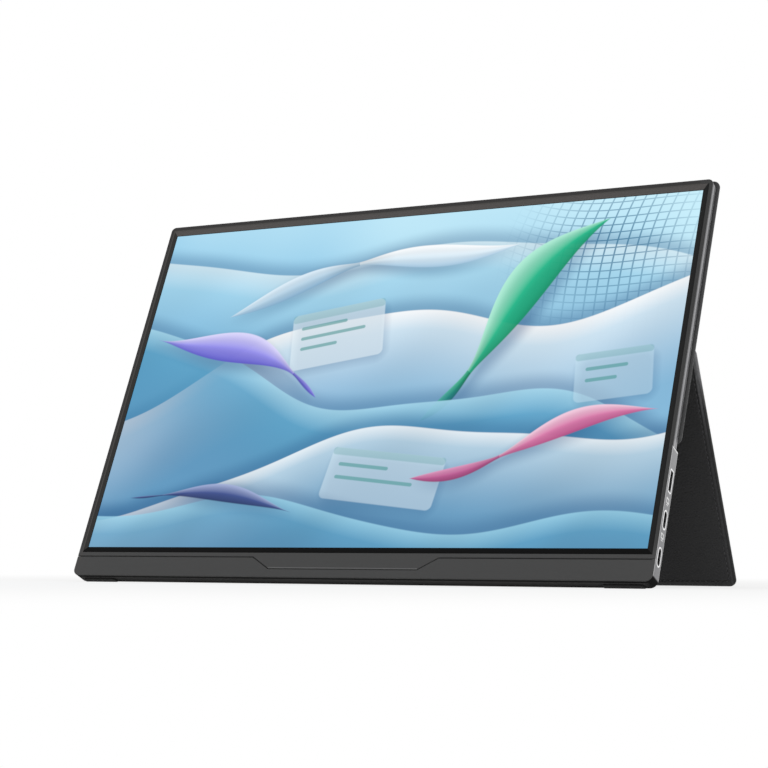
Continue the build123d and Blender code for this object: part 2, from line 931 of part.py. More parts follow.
folio_top = body_height + top_overhang
back_cover, back_lining, back_stiffener = folio_panel(
    depth_plane(slim_depth), folio_low, folio_top, folio_corner, folio_corner
)
save(back_cover, "back_cover")
save(back_lining, "back_lining")

column_pitch = (attach_width - 2 * magnet_side_inset) / (magnet_columns - 1)
row_pitch = (attach_height - 2 * magnet_end_inset) / (magnet_rows - 1)
with BuildPart() as back_board:
    add(back_stiffener.part)
    with BuildSketch(depth_plane(slim_depth + leather)):
        with Locations((0, attach_mid)):
            with GridLocations(column_pitch, row_pitch, magnet_columns, magnet_rows):
                Circle(magnet_radius + fit_gap)
    extrude(amount=-magnet, mode=Mode.SUBTRACT)
save(back_board, "back_board")

with BuildPart() as folio_magnets:
    with BuildSketch(depth_plane(slim_depth + leather)):
        with Locations((0, attach_mid)):
            with GridLocations(column_pitch, row_pitch, magnet_columns, magnet_rows):
                Circle(magnet_radius)
    extrude(amount=-magnet)
save(folio_magnets, "folio_magnets")

with BuildPart() as crease_strip:
    with BuildSketch(depth_plane(folio_depth)):
        box_between(
            -half_width - overhang + turned_edge,
            half_width + overhang - turned_edge,
            hinge_height + bead_seat,
            hinge_height + bead_seat + crease_width,
        )
    extrude(amount=-leather)
save(crease_strip, "crease_strip")

# Leg frame: local y runs up the leg to the hinge axis, local z toward the monitor
leg_plane = Plane(
    origin=point_at(0, hinge_height, hinge_depth),
    x_dir=(1, 0, 0),
    z_dir=(0, -leg_cos, -leg_sin),
)
leg_cover, leg_lining, leg_board = folio_panel(
    leg_plane.offset(-closed_gap), -leg_length, -bead_seat, leg_corner, turned_edge
)
save(leg_cover, "leg_cover")
save(leg_lining, "leg_lining")
save(leg_board, "leg_board")

# The crease: a rolled bead on the hinge axis, joined to the leg's upper edge
bead_end = half_width + overhang - turned_edge
with BuildPart() as leg_hinge:
    with BuildSketch(
        Plane(leg_plane.origin - Vector(bead_end, 0, 0), x_dir=leg_plane.y_dir, z_dir=(1, 0, 0))
    ):
        Circle(bead_radius)
        with Locations((-bead_seat / 2, -closed_gap - leather)):
            Rectangle(bead_seat, 2 * leather)
    extrude(amount=2 * bead_end)
save(leg_hinge, "leg_hinge")
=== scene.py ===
import json
import math

import bmesh
import bpy
from mathutils import Matrix, Vector


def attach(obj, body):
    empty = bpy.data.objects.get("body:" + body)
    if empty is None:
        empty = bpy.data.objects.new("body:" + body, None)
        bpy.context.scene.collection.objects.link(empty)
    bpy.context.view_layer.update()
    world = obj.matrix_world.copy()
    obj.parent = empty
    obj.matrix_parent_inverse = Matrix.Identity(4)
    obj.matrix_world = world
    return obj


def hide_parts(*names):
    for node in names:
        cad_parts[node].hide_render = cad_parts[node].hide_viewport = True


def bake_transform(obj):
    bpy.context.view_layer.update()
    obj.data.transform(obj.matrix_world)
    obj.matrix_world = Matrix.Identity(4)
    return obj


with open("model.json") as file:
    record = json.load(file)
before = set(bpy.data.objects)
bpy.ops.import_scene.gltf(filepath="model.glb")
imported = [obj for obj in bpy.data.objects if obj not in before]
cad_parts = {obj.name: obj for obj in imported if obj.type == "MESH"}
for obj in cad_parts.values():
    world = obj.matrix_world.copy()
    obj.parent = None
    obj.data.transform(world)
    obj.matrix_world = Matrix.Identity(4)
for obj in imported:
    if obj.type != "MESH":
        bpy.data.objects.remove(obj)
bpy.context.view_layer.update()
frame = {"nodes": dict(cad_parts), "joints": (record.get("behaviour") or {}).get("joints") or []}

nodes = frame["nodes"]
scene = bpy.context.scene
for leftover in ("Cube", "Light", "Camera"):
    if leftover in bpy.data.objects:
        bpy.data.objects.remove(bpy.data.objects[leftover])
print("frame loaded:", len(nodes), "CAD nodes")

# Portable monitor on a leather folio stand. Lengths in the dictionaries are millimetres
mm = 0.001
tiny = 0.01  # points nearer than this count as level with one another
body = {
    "halfWidth": 177.5, "slimDepth": 6.0, "bayDepth": 10.0, "activeHalf": 172.35, "activeLow": 18.2,
    "activeHigh": 233.6, "lean": 24.5,
}
hinge = {"height": 140.0, "depth": 10.1, "legLength": 142.0, "edgeRadius": 1.2, "closedGap": 0.2}

legFold = [joint for joint in frame["joints"] if joint["name"] == "leg_fold"][0]
hingeAxis = Vector(legFold["pos_m"])
legRun = hinge["legLength"] - hinge["edgeRadius"]  # the leg's rounded lower edge rests on the desk
legBack = hinge["closedGap"] + hinge["edgeRadius"]
legTilt = math.acos((hingeAxis.z / mm - hinge["edgeRadius"]) / math.hypot(legRun, legBack))
legTilt -= math.atan(legBack / legRun)
leanSin, leanCos = math.sin(math.radians(body["lean"])), math.cos(math.radians(body["lean"]))
tiltSin, tiltCos = math.sin(legTilt), math.cos(legTilt)
upScreen, toViewer = Vector((0, leanSin, leanCos)), Vector((0, -leanCos, leanSin))
upLeg, toMonitor = Vector((0, -tiltSin, tiltCos)), Vector((0, -tiltCos, -tiltSin))
across = Vector((1, 0, 0))
screenOrigin = hingeAxis + mm * (hinge["depth"] * toViewer - hinge["height"] * upScreen)


def placed(xAxis, yAxis, zAxis, origin):
    # Millimetres in a face's own directions to metres in the shared frame
    turn = Matrix((xAxis, yAxis, zAxis)).transposed() * mm
    return Matrix.Translation(origin) @ turn.to_4x4()


onScreen = placed(across, upScreen, toViewer, screenOrigin)  # x, height up the screen, -depth
onLeg = placed(across, upLeg, toMonitor, hingeAxis)  # x, height up the leg, towards the monitor
onBack = placed(-across, upScreen, -toViewer, screenOrigin)  # -x, height up the screen, depth
onRightWall = placed(  # height up the screen, -depth, outwards
    upScreen, toViewer, across, screenOrigin + mm * body["halfWidth"] * across
)

# Camera, from the corners of the lit area in the photograph
view = {
    "fromChin": (521.357, -931.762, 11.137), "forward": (-0.484441, 0.872187, 0.067869),
    "down": (-0.02835, 0.061887, -0.99768), "lens": 92.699, "sensor": 36, "shift": 0.05,
}
cameraData = bpy.data.cameras.new("viewCamera")
cameraData.lens, cameraData.sensor_width = view["lens"], view["sensor"]
cameraData.shift_x = cameraData.shift_y = view["shift"]
camera = bpy.data.objects.new("viewCamera", cameraData)
forward, up = Vector(view["forward"]).normalized(), -Vector(view["down"]).normalized()
camera.matrix_world = (
    Matrix.Translation(screenOrigin + mm * Vector(view["fromChin"]))
    @ Matrix((forward.cross(up), up, -forward)).transposed().to_4x4()
)
scene.collection.objects.link(camera)
scene.camera = camera
scene.view_settings.view_transform = "Standard"


def linear(hexColour):
    # sRGB hex to the linear colour that a shader takes
    parts = [int(hexColour[i:i + 2], 16) / 255 for i in (1, 3, 5)]
    return tuple(c / 12.92 if c <= 0.04045 else ((c + 0.055) / 1.055) ** 2.4 for c in parts) + (1.0,)


def setSockets(tree, node, settings):
    # A list fills the sockets in use, in order. In a dictionary, lower-case keys are the node's other
    # settings, and "From" and "To" give a range's Min and Max. A socket is linked, a hex colour turned to
    # linear, and a number set
    if isinstance(settings, list):
        inUse = [i for i, socket in enumerate(node.inputs) if socket.enabled]
        settings = dict(zip(inUse, settings))
    for key, value in settings.items():
        if key == "stops":  # a colour ramp's places and tones
            for i, (position, tone) in enumerate(value):
                stop = node.color_ramp.elements[i] if i < 2 else node.color_ramp.elements.new(position)
                stop.position, stop.color = position, linear(tone)
        elif key in ("From", "To"):
            for end, number in zip((" Min", " Max"), value):
                node.inputs[key + end].default_value = number
        elif isinstance(key, str) and key[0].islower():
            setattr(node, key, value)
        elif isinstance(value, bpy.types.NodeSocket):
            tree.links.new(value, node.inputs[key])
        else:
            node.inputs[key].default_value = linear(value) if isinstance(value, str) else value


def addNode(tree, kind, settings, output=None):
    # A kind may name its mode after a dot. Gives the output named, or else the first one in use
    kind, _, mode = kind.partition(".")
    node = tree.nodes.new("ShaderNode" + kind)
    if mode:
        setattr(node, {"Mix": "data_type", "MapRange": "interpolation_type"}.get(kind, "operation"), mode)
    setSockets(tree, node, settings)
    return node.outputs[output] if output else [socket for socket in node.outputs if socket.enabled][0]


def newMaterial(name):
    material = bpy.data.materials.new(name)
    material.use_nodes = True
    return material, material.node_tree, material.node_tree.nodes["Principled BSDF"]


usualFinish = {
    "cloudDetail": 5.0, "cloudRoughness": 0.6, "grainKind": "noise", "grainDetail": 3.0, "cellEdge": 0.35,
    "stretch": (1, 1, 1), "grainShare": 0.35, "spread": (0.3, 0.7), "relief": 0.3, "specular": 0.5,
    "metallic": 0.0,
}


def finishMaterial(ownFinish):
    # Cloudy colour between two tones, uneven roughness and a fine relief, scaled in millimetres. The grain
    # is noise or pebbled cells. On blasted, moulded and plated faces it is really 0.02 to 0.1 mm, and is
    # drawn at 0.2 mm or more so that it shows
    recipe = {**usualFinish, **ownFinish}
    material, tree, shader = newMaterial(recipe["name"])
    place = addNode(tree, "TexCoord", {}, "Object")
    grainPlace = addNode(tree, "Mapping", {"Scale": recipe["stretch"], "Vector": place})
    cloud = addNode(tree, "TexNoise", {
        "Scale": 1000 / recipe["cloud"], "Detail": recipe["cloudDetail"],
        "Roughness": recipe["cloudRoughness"], "Vector": place,
    }, "Fac")
    grainScale, grainTop = 1000 / recipe["grain"], 1.0
    if recipe["grainKind"] == "pebble":
        cells = {"feature": "DISTANCE_TO_EDGE", "Scale": grainScale, "Vector": grainPlace}
        grain, grainTop = addNode(tree, "TexVoronoi", cells, "Distance"), recipe["cellEdge"]
    else:
        fine = {"Scale": grainScale, "Detail": recipe["grainDetail"], "Vector": grainPlace}
        grain = addNode(tree, "TexNoise", fine, "Fac")
    level = addNode(tree, "MapRange", {"From Max": grainTop, "Value": grain})
    both = addNode(tree, "Mix.FLOAT", [recipe["grainShare"], cloud, level])
    spreadOut = addNode(tree, "MapRange", {"From": recipe["spread"], "Value": both})
    low, high = recipe["tones"]
    tones = addNode(tree, "Mix.RGBA", [spreadOut, low, high])
    relief = {"Strength": recipe["relief"], "Distance": recipe["height"] * mm, "Height": level}
    setSockets(tree, shader, {
        "Base Color": tones, "Normal": addNode(tree, "Bump", relief),
        "Roughness": addNode(tree, "MapRange", {"To": recipe["roughness"], "Value": spreadOut}),
        "Specular IOR Level": recipe["specular"], "Metallic": recipe["metallic"],
    })
    return material, tree, shader, place, tones


# Studio: white world, a plain pale floor and three soft lamps, in metres
studio = {
    "ambient": 0.55, "floorColour": "#f6f6f5", "floorRoughness": 0.9, "floorSize": 5.0,
    "floorDrop": 0.00005,  # just under the desk plane, so that nothing on it flickers
    "keepShadow": 0.24, "fade": (0.16, 0.6), "lampsAimAt": (0, 0, 0.1),
    "lamps": [
        ("frontSoftbox", (-0.9, -1.5, 0.75), 1.0, 9.0), ("rightSoftbox", (1.3, -0.5, 0.45), 0.8, 5.0),
        ("backSoftbox", (-0.9, 1.5, 0.6), 0.9, 7.0),
    ],
}
world = bpy.data.worlds.new("whiteStudio")
world.use_nodes = True
scene.world = world
tree = world.node_tree
tree.nodes.clear()
seen = addNode(tree, "LightPath", {}, "Is Camera Ray")
for ray in ("Is Glossy Ray", "Is Transmission Ray"):
    seen = addNode(tree, "Math.MAXIMUM", [seen, addNode(tree, "LightPath", {}, ray)])
lit = addNode(tree, "Background", {"Color": "#ffffff", "Strength": studio["ambient"]})
white = addNode(tree, "Background", {"Color": "#ffffff", "Strength": 1.0})
mixed = addNode(tree, "MixShader", [seen, lit, white])
tree.links.new(mixed, tree.nodes.new("ShaderNodeOutputWorld").inputs["Surface"])

for name, place, size, power in studio["lamps"]:
    data = bpy.data.lights.new(name, "AREA")
    data.shape, data.size, data.energy = "SQUARE", size, power
    lamp = bpy.data.objects.new(name, data)
    lamp.location = place
    lamp.rotation_euler = (Vector(studio["lampsAimAt"]) - Vector(place)).to_track_quat("-Z", "Y").to_euler()
    scene.collection.objects.link(lamp)

# Floor: matt white paint, which keeps the contact shadow and fades into the white world
floorMaterial, tree, shader = newMaterial("paintedFloor")
setSockets(tree, shader, {
    "Base Color": studio["floorColour"], "Roughness": studio["floorRoughness"], "Specular IOR Level": 0.0,
})
seen = addNode(tree, "Math.MAXIMUM", [
    addNode(tree, "LightPath", {}, "Is Camera Ray"), addNode(tree, "LightPath", {}, "Is Glossy Ray"),
])
distance = addNode(tree, "VectorMath.LENGTH", [addNode(tree, "TexCoord", {}, "Object")])
fade = addNode(tree, "MapRange.SMOOTHSTEP", {
    "From": studio["fade"], "To Min": 1 - studio["keepShadow"], "Value": distance,
})
share = addNode(tree, "Math.MULTIPLY", [fade, seen])
glow = addNode(tree, "Emission", {"Color": "#ffffff", "Strength": 1.0})
mixed = addNode(tree, "MixShader", [share, shader.outputs[0], glow])
tree.links.new(mixed, tree.nodes["Material Output"].inputs["Surface"])
shape = bmesh.new()
bmesh.ops.create_grid(shape, x_segments=1, y_segments=1, size=studio["floorSize"] / 2)
bmesh.ops.translate(shape, verts=shape.verts, vec=(0, 0, -studio["floorDrop"]))
floorMesh = bpy.data.meshes.new("studioFloor")
shape.to_mesh(floorMesh)
shape.free()
floorMesh.materials.append(floorMaterial)
floor = bpy.data.objects.new("studioFloor", floorMesh)
scene.collection.objects.link(floor)
print("studio lit with", len(studio["lamps"]), "lamps")


def dress(material, *names):
    for name in names:
        for slot in nodes[name].material_slots:
            slot.material = material


def makePiece(name, shape, place, material, sharpFrom=35):
    # Turns a bmesh in millimetres into a piece at its place in the shared frame
    shape.transform(place)
    for face in shape.faces:
        face.smooth = True
    for edge in shape.edges:
        edge.smooth = len(edge.link_faces) < 2 or edge.calc_face_angle(0) < math.radians(sharpFrom)
    mesh = bpy.data.meshes.new(name)
    shape.to_mesh(mesh)
    shape.free()
    mesh.materials.append(material)
    piece = bpy.data.objects.new(name, mesh)
    scene.collection.objects.link(piece)
    return piece


def grow(shape, operator, geometry, way):
    # Extrudes edges or faces with a bmesh operator, moves what is new and returns it
    grown = operator(shape, **geometry)["geom"]
    bmesh.ops.translate(shape, verts=[v for v in grown if isinstance(v, bmesh.types.BMVert)], vec=way)
    return grown


def copies(one, places):
    # A small shape laid at every place, as one bmesh
    shape, mesh = bmesh.new(), bpy.data.meshes.new("oneCopy")
    one.to_mesh(mesh)
    one.free()
    for laid in places:
        mesh.transform(laid)
        shape.from_mesh(mesh)
        mesh.transform(laid.inverted())
    bpy.data.meshes.remove(mesh)
    return shape


# Folio panels: leather glued round a stiff board, with a pressed channel for the seam
folio = {
    "halfWidth": 179.0, "thickness": 3.0, "corner": 4.0, "edgeRadius": 1.2, "legGap": 0.2,
    "back": {"low": 80.0, "high": 243.0, "narrow": 0.0},
    "leg": {"low": -142.0, "high": -1.2, "narrow": 2.0},  # 2 mm narrower on each side at its top
    "seamInset": 3.5, "seamWidth": 1.0, "seamDepth": 0.2,
    "seamSlope": 0.7, "seamFlat": 0.6,  # shares of half the channel's width
    "cornerSegments": 8, "edgeSegments": 4, "sharpFrom": 28,
}

# Leather: grain-pressed split leather, nearly black and a little cloudy. Its side edges are painted paler, a
# painted sheen for the light that catches them.
# The real pebbles are about 0.8 mm, drawn at 1.6 mm so that they show
edgeSheen = {"reach": (176.4, 178.2), "tone": "#363637", "share": 0.75}
leather, tree, shader, place, tones = finishMaterial({
    "name": "pressedLeather", "tones": ("#111112", "#282829"), "cloud": 7, "grain": 1.6,
    "grainKind": "pebble", "roughness": (0.46, 0.7), "height": 0.22, "relief": 0.7, "grainShare": 0.45,
    "specular": 0.3,
})
sideways = addNode(tree, "Math.ABSOLUTE", [addNode(tree, "SeparateXYZ", [place])])
upwards = addNode(tree, "SeparateXYZ", [place], "Z")
# Painted sheen: paler towards the side edges of every leather piece
edgeSheenShare = addNode(tree, "MapRange", {
    "From": mm * Vector(edgeSheen["reach"]), "To Max": edgeSheen["share"], "Value": sideways,
})
paintedLeatherTone = addNode(tree, "Mix.RGBA", [edgeSheenShare, tones, edgeSheen["tone"]])
# Painted light on the leg: its inner face is painted paler towards its sides and foot, with a painted
# highlight line along each side. Beyond that line the rounded side edge is painted dark as painted shade, and
# it turns paler towards the hinge as painted sheen.
legPaintedLight = {
    "middle": -1.7, "half": 2.0, "innerFrom": -1.0, "paleSide": (146.0, 177.0), "paleFoot": (2.4, 1.2),
    "paleShare": 0.42, "paleTone": "#3c3c3d", "line": (177.3, 0.6), "lineRise": (78.0, 112.0),
    "lineLeast": 0.12, "lineTone": "#6c6c6e", "rimFrom": 177.9, "rimTone": "#151516", "rimPower": 4.0,
}
fromHinge = addNode(tree, "VectorMath.SUBTRACT", [place, hingeAxis])
inLeg = addNode(tree, "VectorMath.DOT_PRODUCT", [fromHinge, toMonitor])
onLegPanel = addNode(tree, "Math.COMPARE", [inLeg, legPaintedLight["middle"] * mm, legPaintedLight["half"] * mm])
belowHinge = addNode(tree, "Math.LESS_THAN", [upwards, hingeAxis.z])
onLegPanel = addNode(tree, "Math.MULTIPLY", [onLegPanel, belowHinge])
onInner = addNode(tree, "Math.GREATER_THAN", [inLeg, legPaintedLight["innerFrom"] * mm])
narrowing = folio["leg"]["narrow"] * mm / hingeAxis.z
toEdge = addNode(tree, "Math.MULTIPLY_ADD", [upwards, narrowing, sideways])
paleSide, paleFoot = [
    addNode(tree, "MapRange", {
        "From": mm * Vector(legPaintedLight[reach]), "To Max": legPaintedLight["paleShare"], "Value": value,
    })
    for value, reach in ((toEdge, "paleSide"), (upwards, "paleFoot"))
]
paleShare = addNode(tree, "Math.MAXIMUM", [paleSide, paleFoot])
risen = addNode(tree, "MapRange", {"From": mm * Vector(legPaintedLight["lineRise"]), "Value": upwards})
middle, half = legPaintedLight["line"]
onLine = addNode(tree, "Math.COMPARE", [toEdge, middle * mm, half * mm])
lineShare = addNode(tree, "MapRange", {"To Min": legPaintedLight["lineLeast"], "Value": risen})
lineShare = addNode(tree, "Math.MULTIPLY", [lineShare, onLine])
inner = tones
for share, laid in ((paleShare, "paleTone"), (lineShare, "lineTone")):
    inner = addNode(tree, "Mix.RGBA", [share, inner, legPaintedLight[laid]])
# Painted shade on the rounded side edge, giving way to painted sheen towards the hinge
onRim = addNode(tree, "Math.GREATER_THAN", [toEdge, legPaintedLight["rimFrom"] * mm])
rimShare = addNode(tree, "Math.POWER", [risen, legPaintedLight["rimPower"]])
rim = addNode(tree, "Mix.RGBA", [rimShare, legPaintedLight["rimTone"], legPaintedLight["lineTone"]])
legTone = addNode(tree, "Mix.RGBA", [onInner, tones, inner])
legTone = addNode(tree, "Mix.RGBA", [onRim, legTone, rim])
paintedLeatherTone = addNode(tree, "Mix.RGBA", [onLegPanel, paintedLeatherTone, legTone])
setSockets(tree, shader, {"Base Color": paintedLeatherTone})
# Thread: bonded polyester, paler than the leather it sinks into
thread = finishMaterial({
    "name": "bondedThread", "tones": ("#464648", "#58585a"), "cloud": 3, "grain": 0.25,
    "roughness": (0.5, 0.75), "height": 0.03, "specular": 0.3,
})[0]


def roundedFace(shape, left, right, low, high, radius, segments, level, narrow=0.0):
    # One flat face with round corners, which may narrow towards its upper edge
    before = set(shape.faces)
    ends = [(left, low), (right, low), (right - narrow, high), (left + narrow, high)]
    corners = [shape.verts.new((x, y, level)) for x, y in ends]
    shape.faces.new(corners)
    bmesh.ops.bevel(
        shape, geom=corners, offset=radius, offset_type="OFFSET", segments=segments, profile=0.5,
        affect="VERTICES", material=-1,
    )
    return [face for face in shape.faces if face not in before][0]


def leatherPanel(name, panel, front, place):
    shape = bmesh.new()
    face = roundedFace(
        shape, -folio["halfWidth"], folio["halfWidth"], panel["low"], panel["high"], folio["corner"],
        folio["cornerSegments"], front, panel["narrow"],
    )
    grow(shape, bmesh.ops.extrude_face_region, {"geom": [face]}, (0, 0, -folio["thickness"]))
    bmesh.ops.recalc_face_normals(shape, faces=shape.faces)
    rims = [e for e in shape.edges if abs(e.verts[0].co.z - e.verts[1].co.z) < tiny]
    bmesh.ops.bevel(
        shape, geom=rims, offset=folio["edgeRadius"], segments=folio["edgeSegments"], profile=0.5,
        affect="EDGES", material=-1,
    )
    # The channel is pressed into both sides: a slope down, its flat bed, and a slope up
    half = folio["seamWidth"] / 2
    slope = half * folio["seamSlope"]
    insets = (
        (folio["seamInset"] - half - folio["edgeRadius"], 0), (slope, -folio["seamDepth"]),
        (half * folio["seamFlat"], 0), (slope, folio["seamDepth"]),
    )
    for side in sorted(shape.faces, key=lambda f: -f.calc_area())[:2]:
        for thickness, depth in insets:
            bmesh.ops.inset_region(
                shape, faces=[side], thickness=thickness, depth=depth, use_boundary=True, use_even_offset=True
            )
    return makePiece(name, shape, place, leather, folio["sharpFrom"])


folioBack = leatherPanel("folioBackPanel", folio["back"], -body["slimDepth"], onScreen)
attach(folioBack, "monitor")
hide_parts("back_cover", "back_lining")
folioLeg = leatherPanel("folioLegPanel", folio["leg"], -folio["legGap"], onLeg)
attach(folioLeg, "leg")
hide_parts("leg_cover", "leg_lining", "leg_board")
print("folio panels made")

# Seams: one stitch is a short grain of thread, half sunk in the pressed channel
seam = {
    "pitch": 3.0, "length": 1.1, "width": 0.24, "thin": 0.8, "proud": 0.08, "legTopRow": -13.5,
    "leastRadius": 0.5, "around": 6, "rings": 4, "sharpFrom": 80,
}


def seamPath(panel, closed=True):
    # Points and directions along a panel's rounded outline, one stitch apart
    inset = folio["seamInset"]
    x, low, high = folio["halfWidth"] - inset, panel["low"] + inset, panel["high"] - inset
    top, corner = x - panel["narrow"], max(folio["corner"] - inset, seam["leastRadius"])
    runs = [
        ((-top, high - corner), (-x, low + corner)), ((-x + corner, low), (x - corner, low)),
        ((x, low + corner), (top, high - corner)),
    ]
    if closed:
        runs.append(((top - corner, high), (-top + corner, high)))
    places = []
    for start, end in runs:
        start, end = Vector(start), Vector(end)
        count = round((end - start).length / seam["pitch"])
        angle = math.atan2(end.y - start.y, end.x - start.x)
        places += [(start.lerp(end, (i + 0.5) / count), angle) for i in range(count)]
    return places


def stitches(name, rows, place, bodyName):
    one = bmesh.new()
    bmesh.ops.create_uvsphere(one, u_segments=seam["around"], v_segments=seam["rings"], radius=1)
    size = Matrix.Diagonal((seam["length"], seam["width"], seam["width"] * seam["thin"], 1))
    laid = [
        Matrix.Translation((point.x, point.y, level)) @ Matrix.Rotation(angle, 4, "Z") @ size
        for places, level in rows for point, angle in places
    ]
    piece = makePiece(name, copies(one, laid), place, thread, seam["sharpFrom"])
    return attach(piece, bodyName)


backOuter = -body["slimDepth"] - folio["thickness"] + folio["seamDepth"] - seam["proud"]
stitches("backStitches", [(seamPath(folio["back"]), backOuter)], onScreen, "monitor")
legInner = -folio["legGap"] - folio["seamDepth"] + seam["proud"]
legOuter = -folio["legGap"] - folio["thickness"] + folio["seamDepth"] - seam["proud"]
# The outer row stops below the fold, part of the way up the narrowing leg
leg = folio["leg"]
outerShare = (seam["legTopRow"] - leg["low"]) / (leg["high"] - leg["low"])
outerPart = {"low": leg["low"], "high": seam["legTopRow"], "narrow": leg["narrow"] * outerShare}
legRows = [(seamPath(leg), legInner), (seamPath(outerPart, closed=False), legOuter)]
stitches("legStitches", legRows, onLeg, "leg")
print("seams sewn")

# Fold: one strip of leather from the back panel, round the crease, to the leg's outer face
fold = {
    "halfWidth": 173.4, "thickness": 0.5, "columns": 48, "start": -0.45, "end": 0.6,
    # Its folded line, as (height along the panel or the leg, depth behind the hinge)
    "onPanel": [
        (12.2, -0.85), (9.5, -0.85), (5.5, -0.85), (2.7, -0.85), (1.75, -0.72), (1.3, -0.35), (1.18, 0.1),
    ],
    "onLeg": [
        (-0.95, 1.3), (-0.95, 2.0), (-1.38, 3.02), (-2.5, 3.45), (-5.0, 3.45), (-8.5, 3.45), (-11.0, 3.45),
    ],
    "smoothLevels": 2, "sharpFrom": 80,
}
shape = bmesh.new()
line = [hingeAxis / mm + upScreen * rise - toViewer * out for rise, out in fold["onPanel"]]
line += [hingeAxis / mm + upLeg * rise - toMonitor * out for rise, out in fold["onLeg"]]
ends = [shape.verts.new(point - across * fold["halfWidth"]) for point in line]
row = [shape.edges.new(pair) for pair in zip(ends, ends[1:])]
column = (2 * fold["halfWidth"] / fold["columns"], 0, 0)
for step in range(fold["columns"]):
    grown = grow(shape, bmesh.ops.extrude_edge_only, {"edges": row}, column)
    row = [e for e in grown if isinstance(e, bmesh.types.BMEdge)]
    row = [e for e in row if abs(e.verts[0].co.x - e.verts[1].co.x) < tiny]
foldStrip = makePiece("foldStrip", shape, Matrix.Diagonal((mm, mm, mm, 1)), leather, fold["sharpFrom"])
wall = foldStrip.modifiers.new("leatherThickness", "SOLIDIFY")
wall.thickness, wall.offset = fold["thickness"] * mm, 0
smoothing = foldStrip.modifiers.new("softFold", "SUBSURF")
smoothing.levels = smoothing.render_levels = fold["smoothLevels"]
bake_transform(foldStrip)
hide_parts("crease_strip", "leg_hinge")


def inScreen(tree, place):
    # Millimetres across, up the screen and towards the viewer, for patterns that follow the screen
    turn = (math.radians(body["lean"] - 90), 0, 0)
    shift = (0, -screenOrigin.dot(upScreen) / mm, -screenOrigin.dot(toViewer) / mm)
    mapped = addNode(
        tree, "Mapping", {"Scale": (1 / mm,) * 3, "Rotation": turn, "Location": shift, "Vector": place}
    )
    return addNode(tree, "SeparateXYZ", [mapped]).node.outputs


# Bezel: moulded ABS with a fine spark-eroded grain, a polished black bevel with painted light and shade on
# its faces, a painted highlight along its arris and a satin painted chin
bezelFinish = {
    "sideBevel": 2.55, "topBevel": 3.4, "lowBevel": 2.8, "bevelTone": "#070707", "bevelRoughness": 0.45,
    "topTone": "#545150", "leftTone": "#363534", "rightTone": "#202020",
    "blackLine": 0.06, "blackReach": 0.76,  # shares of the bevel, inwards and outwards
    "rightRim": (170.0, 171.0), "rightRimTone": "#424242", "chin": (24.0, 13.0), "chinTone": "#4b4b4b",
    "tabHalf": 46.2, "tabLine": (5.55, 0.3), "tabTone": "#6a6a6a",
    "arris": (1.0, 0.12), "arrisTone": "#4e4c4a",  # the line's middle and half width, in shares of the bevel
}
bezel, tree, shader, place, tones = finishMaterial({
    "name": "mouldedBezelPlastic", "tones": ("#383737", "#3f3e3e"), "cloud": 40, "grain": 0.45,
    "roughness": (0.48, 0.6), "height": 0.02, "relief": 0.25, "grainShare": 0.3, "specular": 0.04,
})
x, u = inScreen(tree, place)[:2]
# Painted light: the rim is painted a little lighter towards its right side
onRight = addNode(tree, "MapRange", {"From": bezelFinish["rightRim"], "Value": x})
onChin = addNode(tree, "MapRange.SMOOTHSTEP", {"From": bezelFinish["chin"], "Value": u})
# Light caught by the lower edge of the tab that dips into the chin
sideways = addNode(tree, "Math.ABSOLUTE", [x])
onTab = addNode(tree, "Math.LESS_THAN", [sideways, bezelFinish["tabHalf"]])
middle, half = bezelFinish["tabLine"]
tabLight = addNode(tree, "Math.COMPARE", [u, middle, half])
tabLight = addNode(tree, "Math.MULTIPLY", [tabLight, onTab])
tone = tones
for share, laid in ((onRight, "rightRimTone"), (onChin, "chinTone"), (tabLight, "tabTone")):
    tone = addNode(tree, "Mix.RGBA", [share, tone, bezelFinish[laid]])
# The bevel's own shares: 0 at the picture's edge and 1 at the rim, for each of its faces
aside, above, below = [
    addNode(tree, "MapRange", {"clamp": False, "From": (start, start + width), "Value": value})
    for value, start, width in (
        (sideways, body["activeHalf"], bezelFinish["sideBevel"]),
        (u, body["activeHigh"], bezelFinish["topBevel"]), (u, body["activeLow"], -bezelFinish["lowBevel"]),
    )
]
notTop = addNode(tree, "Math.MAXIMUM", [aside, below])
notSide = addNode(tree, "Math.MAXIMUM", [above, below])
notLow = addNode(tree, "Math.MAXIMUM", [above, aside])
outermost = addNode(tree, "Math.MAXIMUM", [notLow, below])
onTop = addNode(tree, "Math.GREATER_THAN", [above, notTop])
onSide = addNode(tree, "Math.GREATER_THAN", [aside, notSide])
onLeft = addNode(tree, "Math.LESS_THAN", [x, 0.0])
onLeft = addNode(tree, "Math.MULTIPLY", [onLeft, onSide])
onRightBevel = addNode(tree, "Math.MULTIPLY", [onRight, onSide])
pastLine = addNode(tree, "Math.GREATER_THAN", [outermost, bezelFinish["blackLine"]])
# Painted light and shade on the bevel: its top face is painted lightest, the left less, the right less still,
# and the lower face stays black
bevelTone = bezelFinish["bevelTone"]
for face, laid in ((onTop, "topTone"), (onLeft, "leftTone"), (onRightBevel, "rightTone")):
    share = addNode(tree, "Math.MULTIPLY", [face, pastLine])
    bevelTone = addNode(tree, "Mix.RGBA", [share, bevelTone, bezelFinish[laid]])
# Painted shade: on the right and below, the black runs a little way onto the rim
shrink = addNode(tree, "MapRange", {"To": (1.0, bezelFinish["blackReach"]), "Value": onRight})
blackSide = addNode(tree, "Math.MULTIPLY", [aside, shrink])
blackLow = addNode(tree, "Math.MULTIPLY", [below, bezelFinish["blackReach"]])
black = addNode(tree, "Math.MAXIMUM", [above, blackSide])
black = addNode(tree, "Math.MAXIMUM", [black, blackLow])
onBevel = addNode(tree, "Math.LESS_THAN", [black, 1.0])
tone = addNode(tree, "Mix.RGBA", [onBevel, tone, bevelTone])
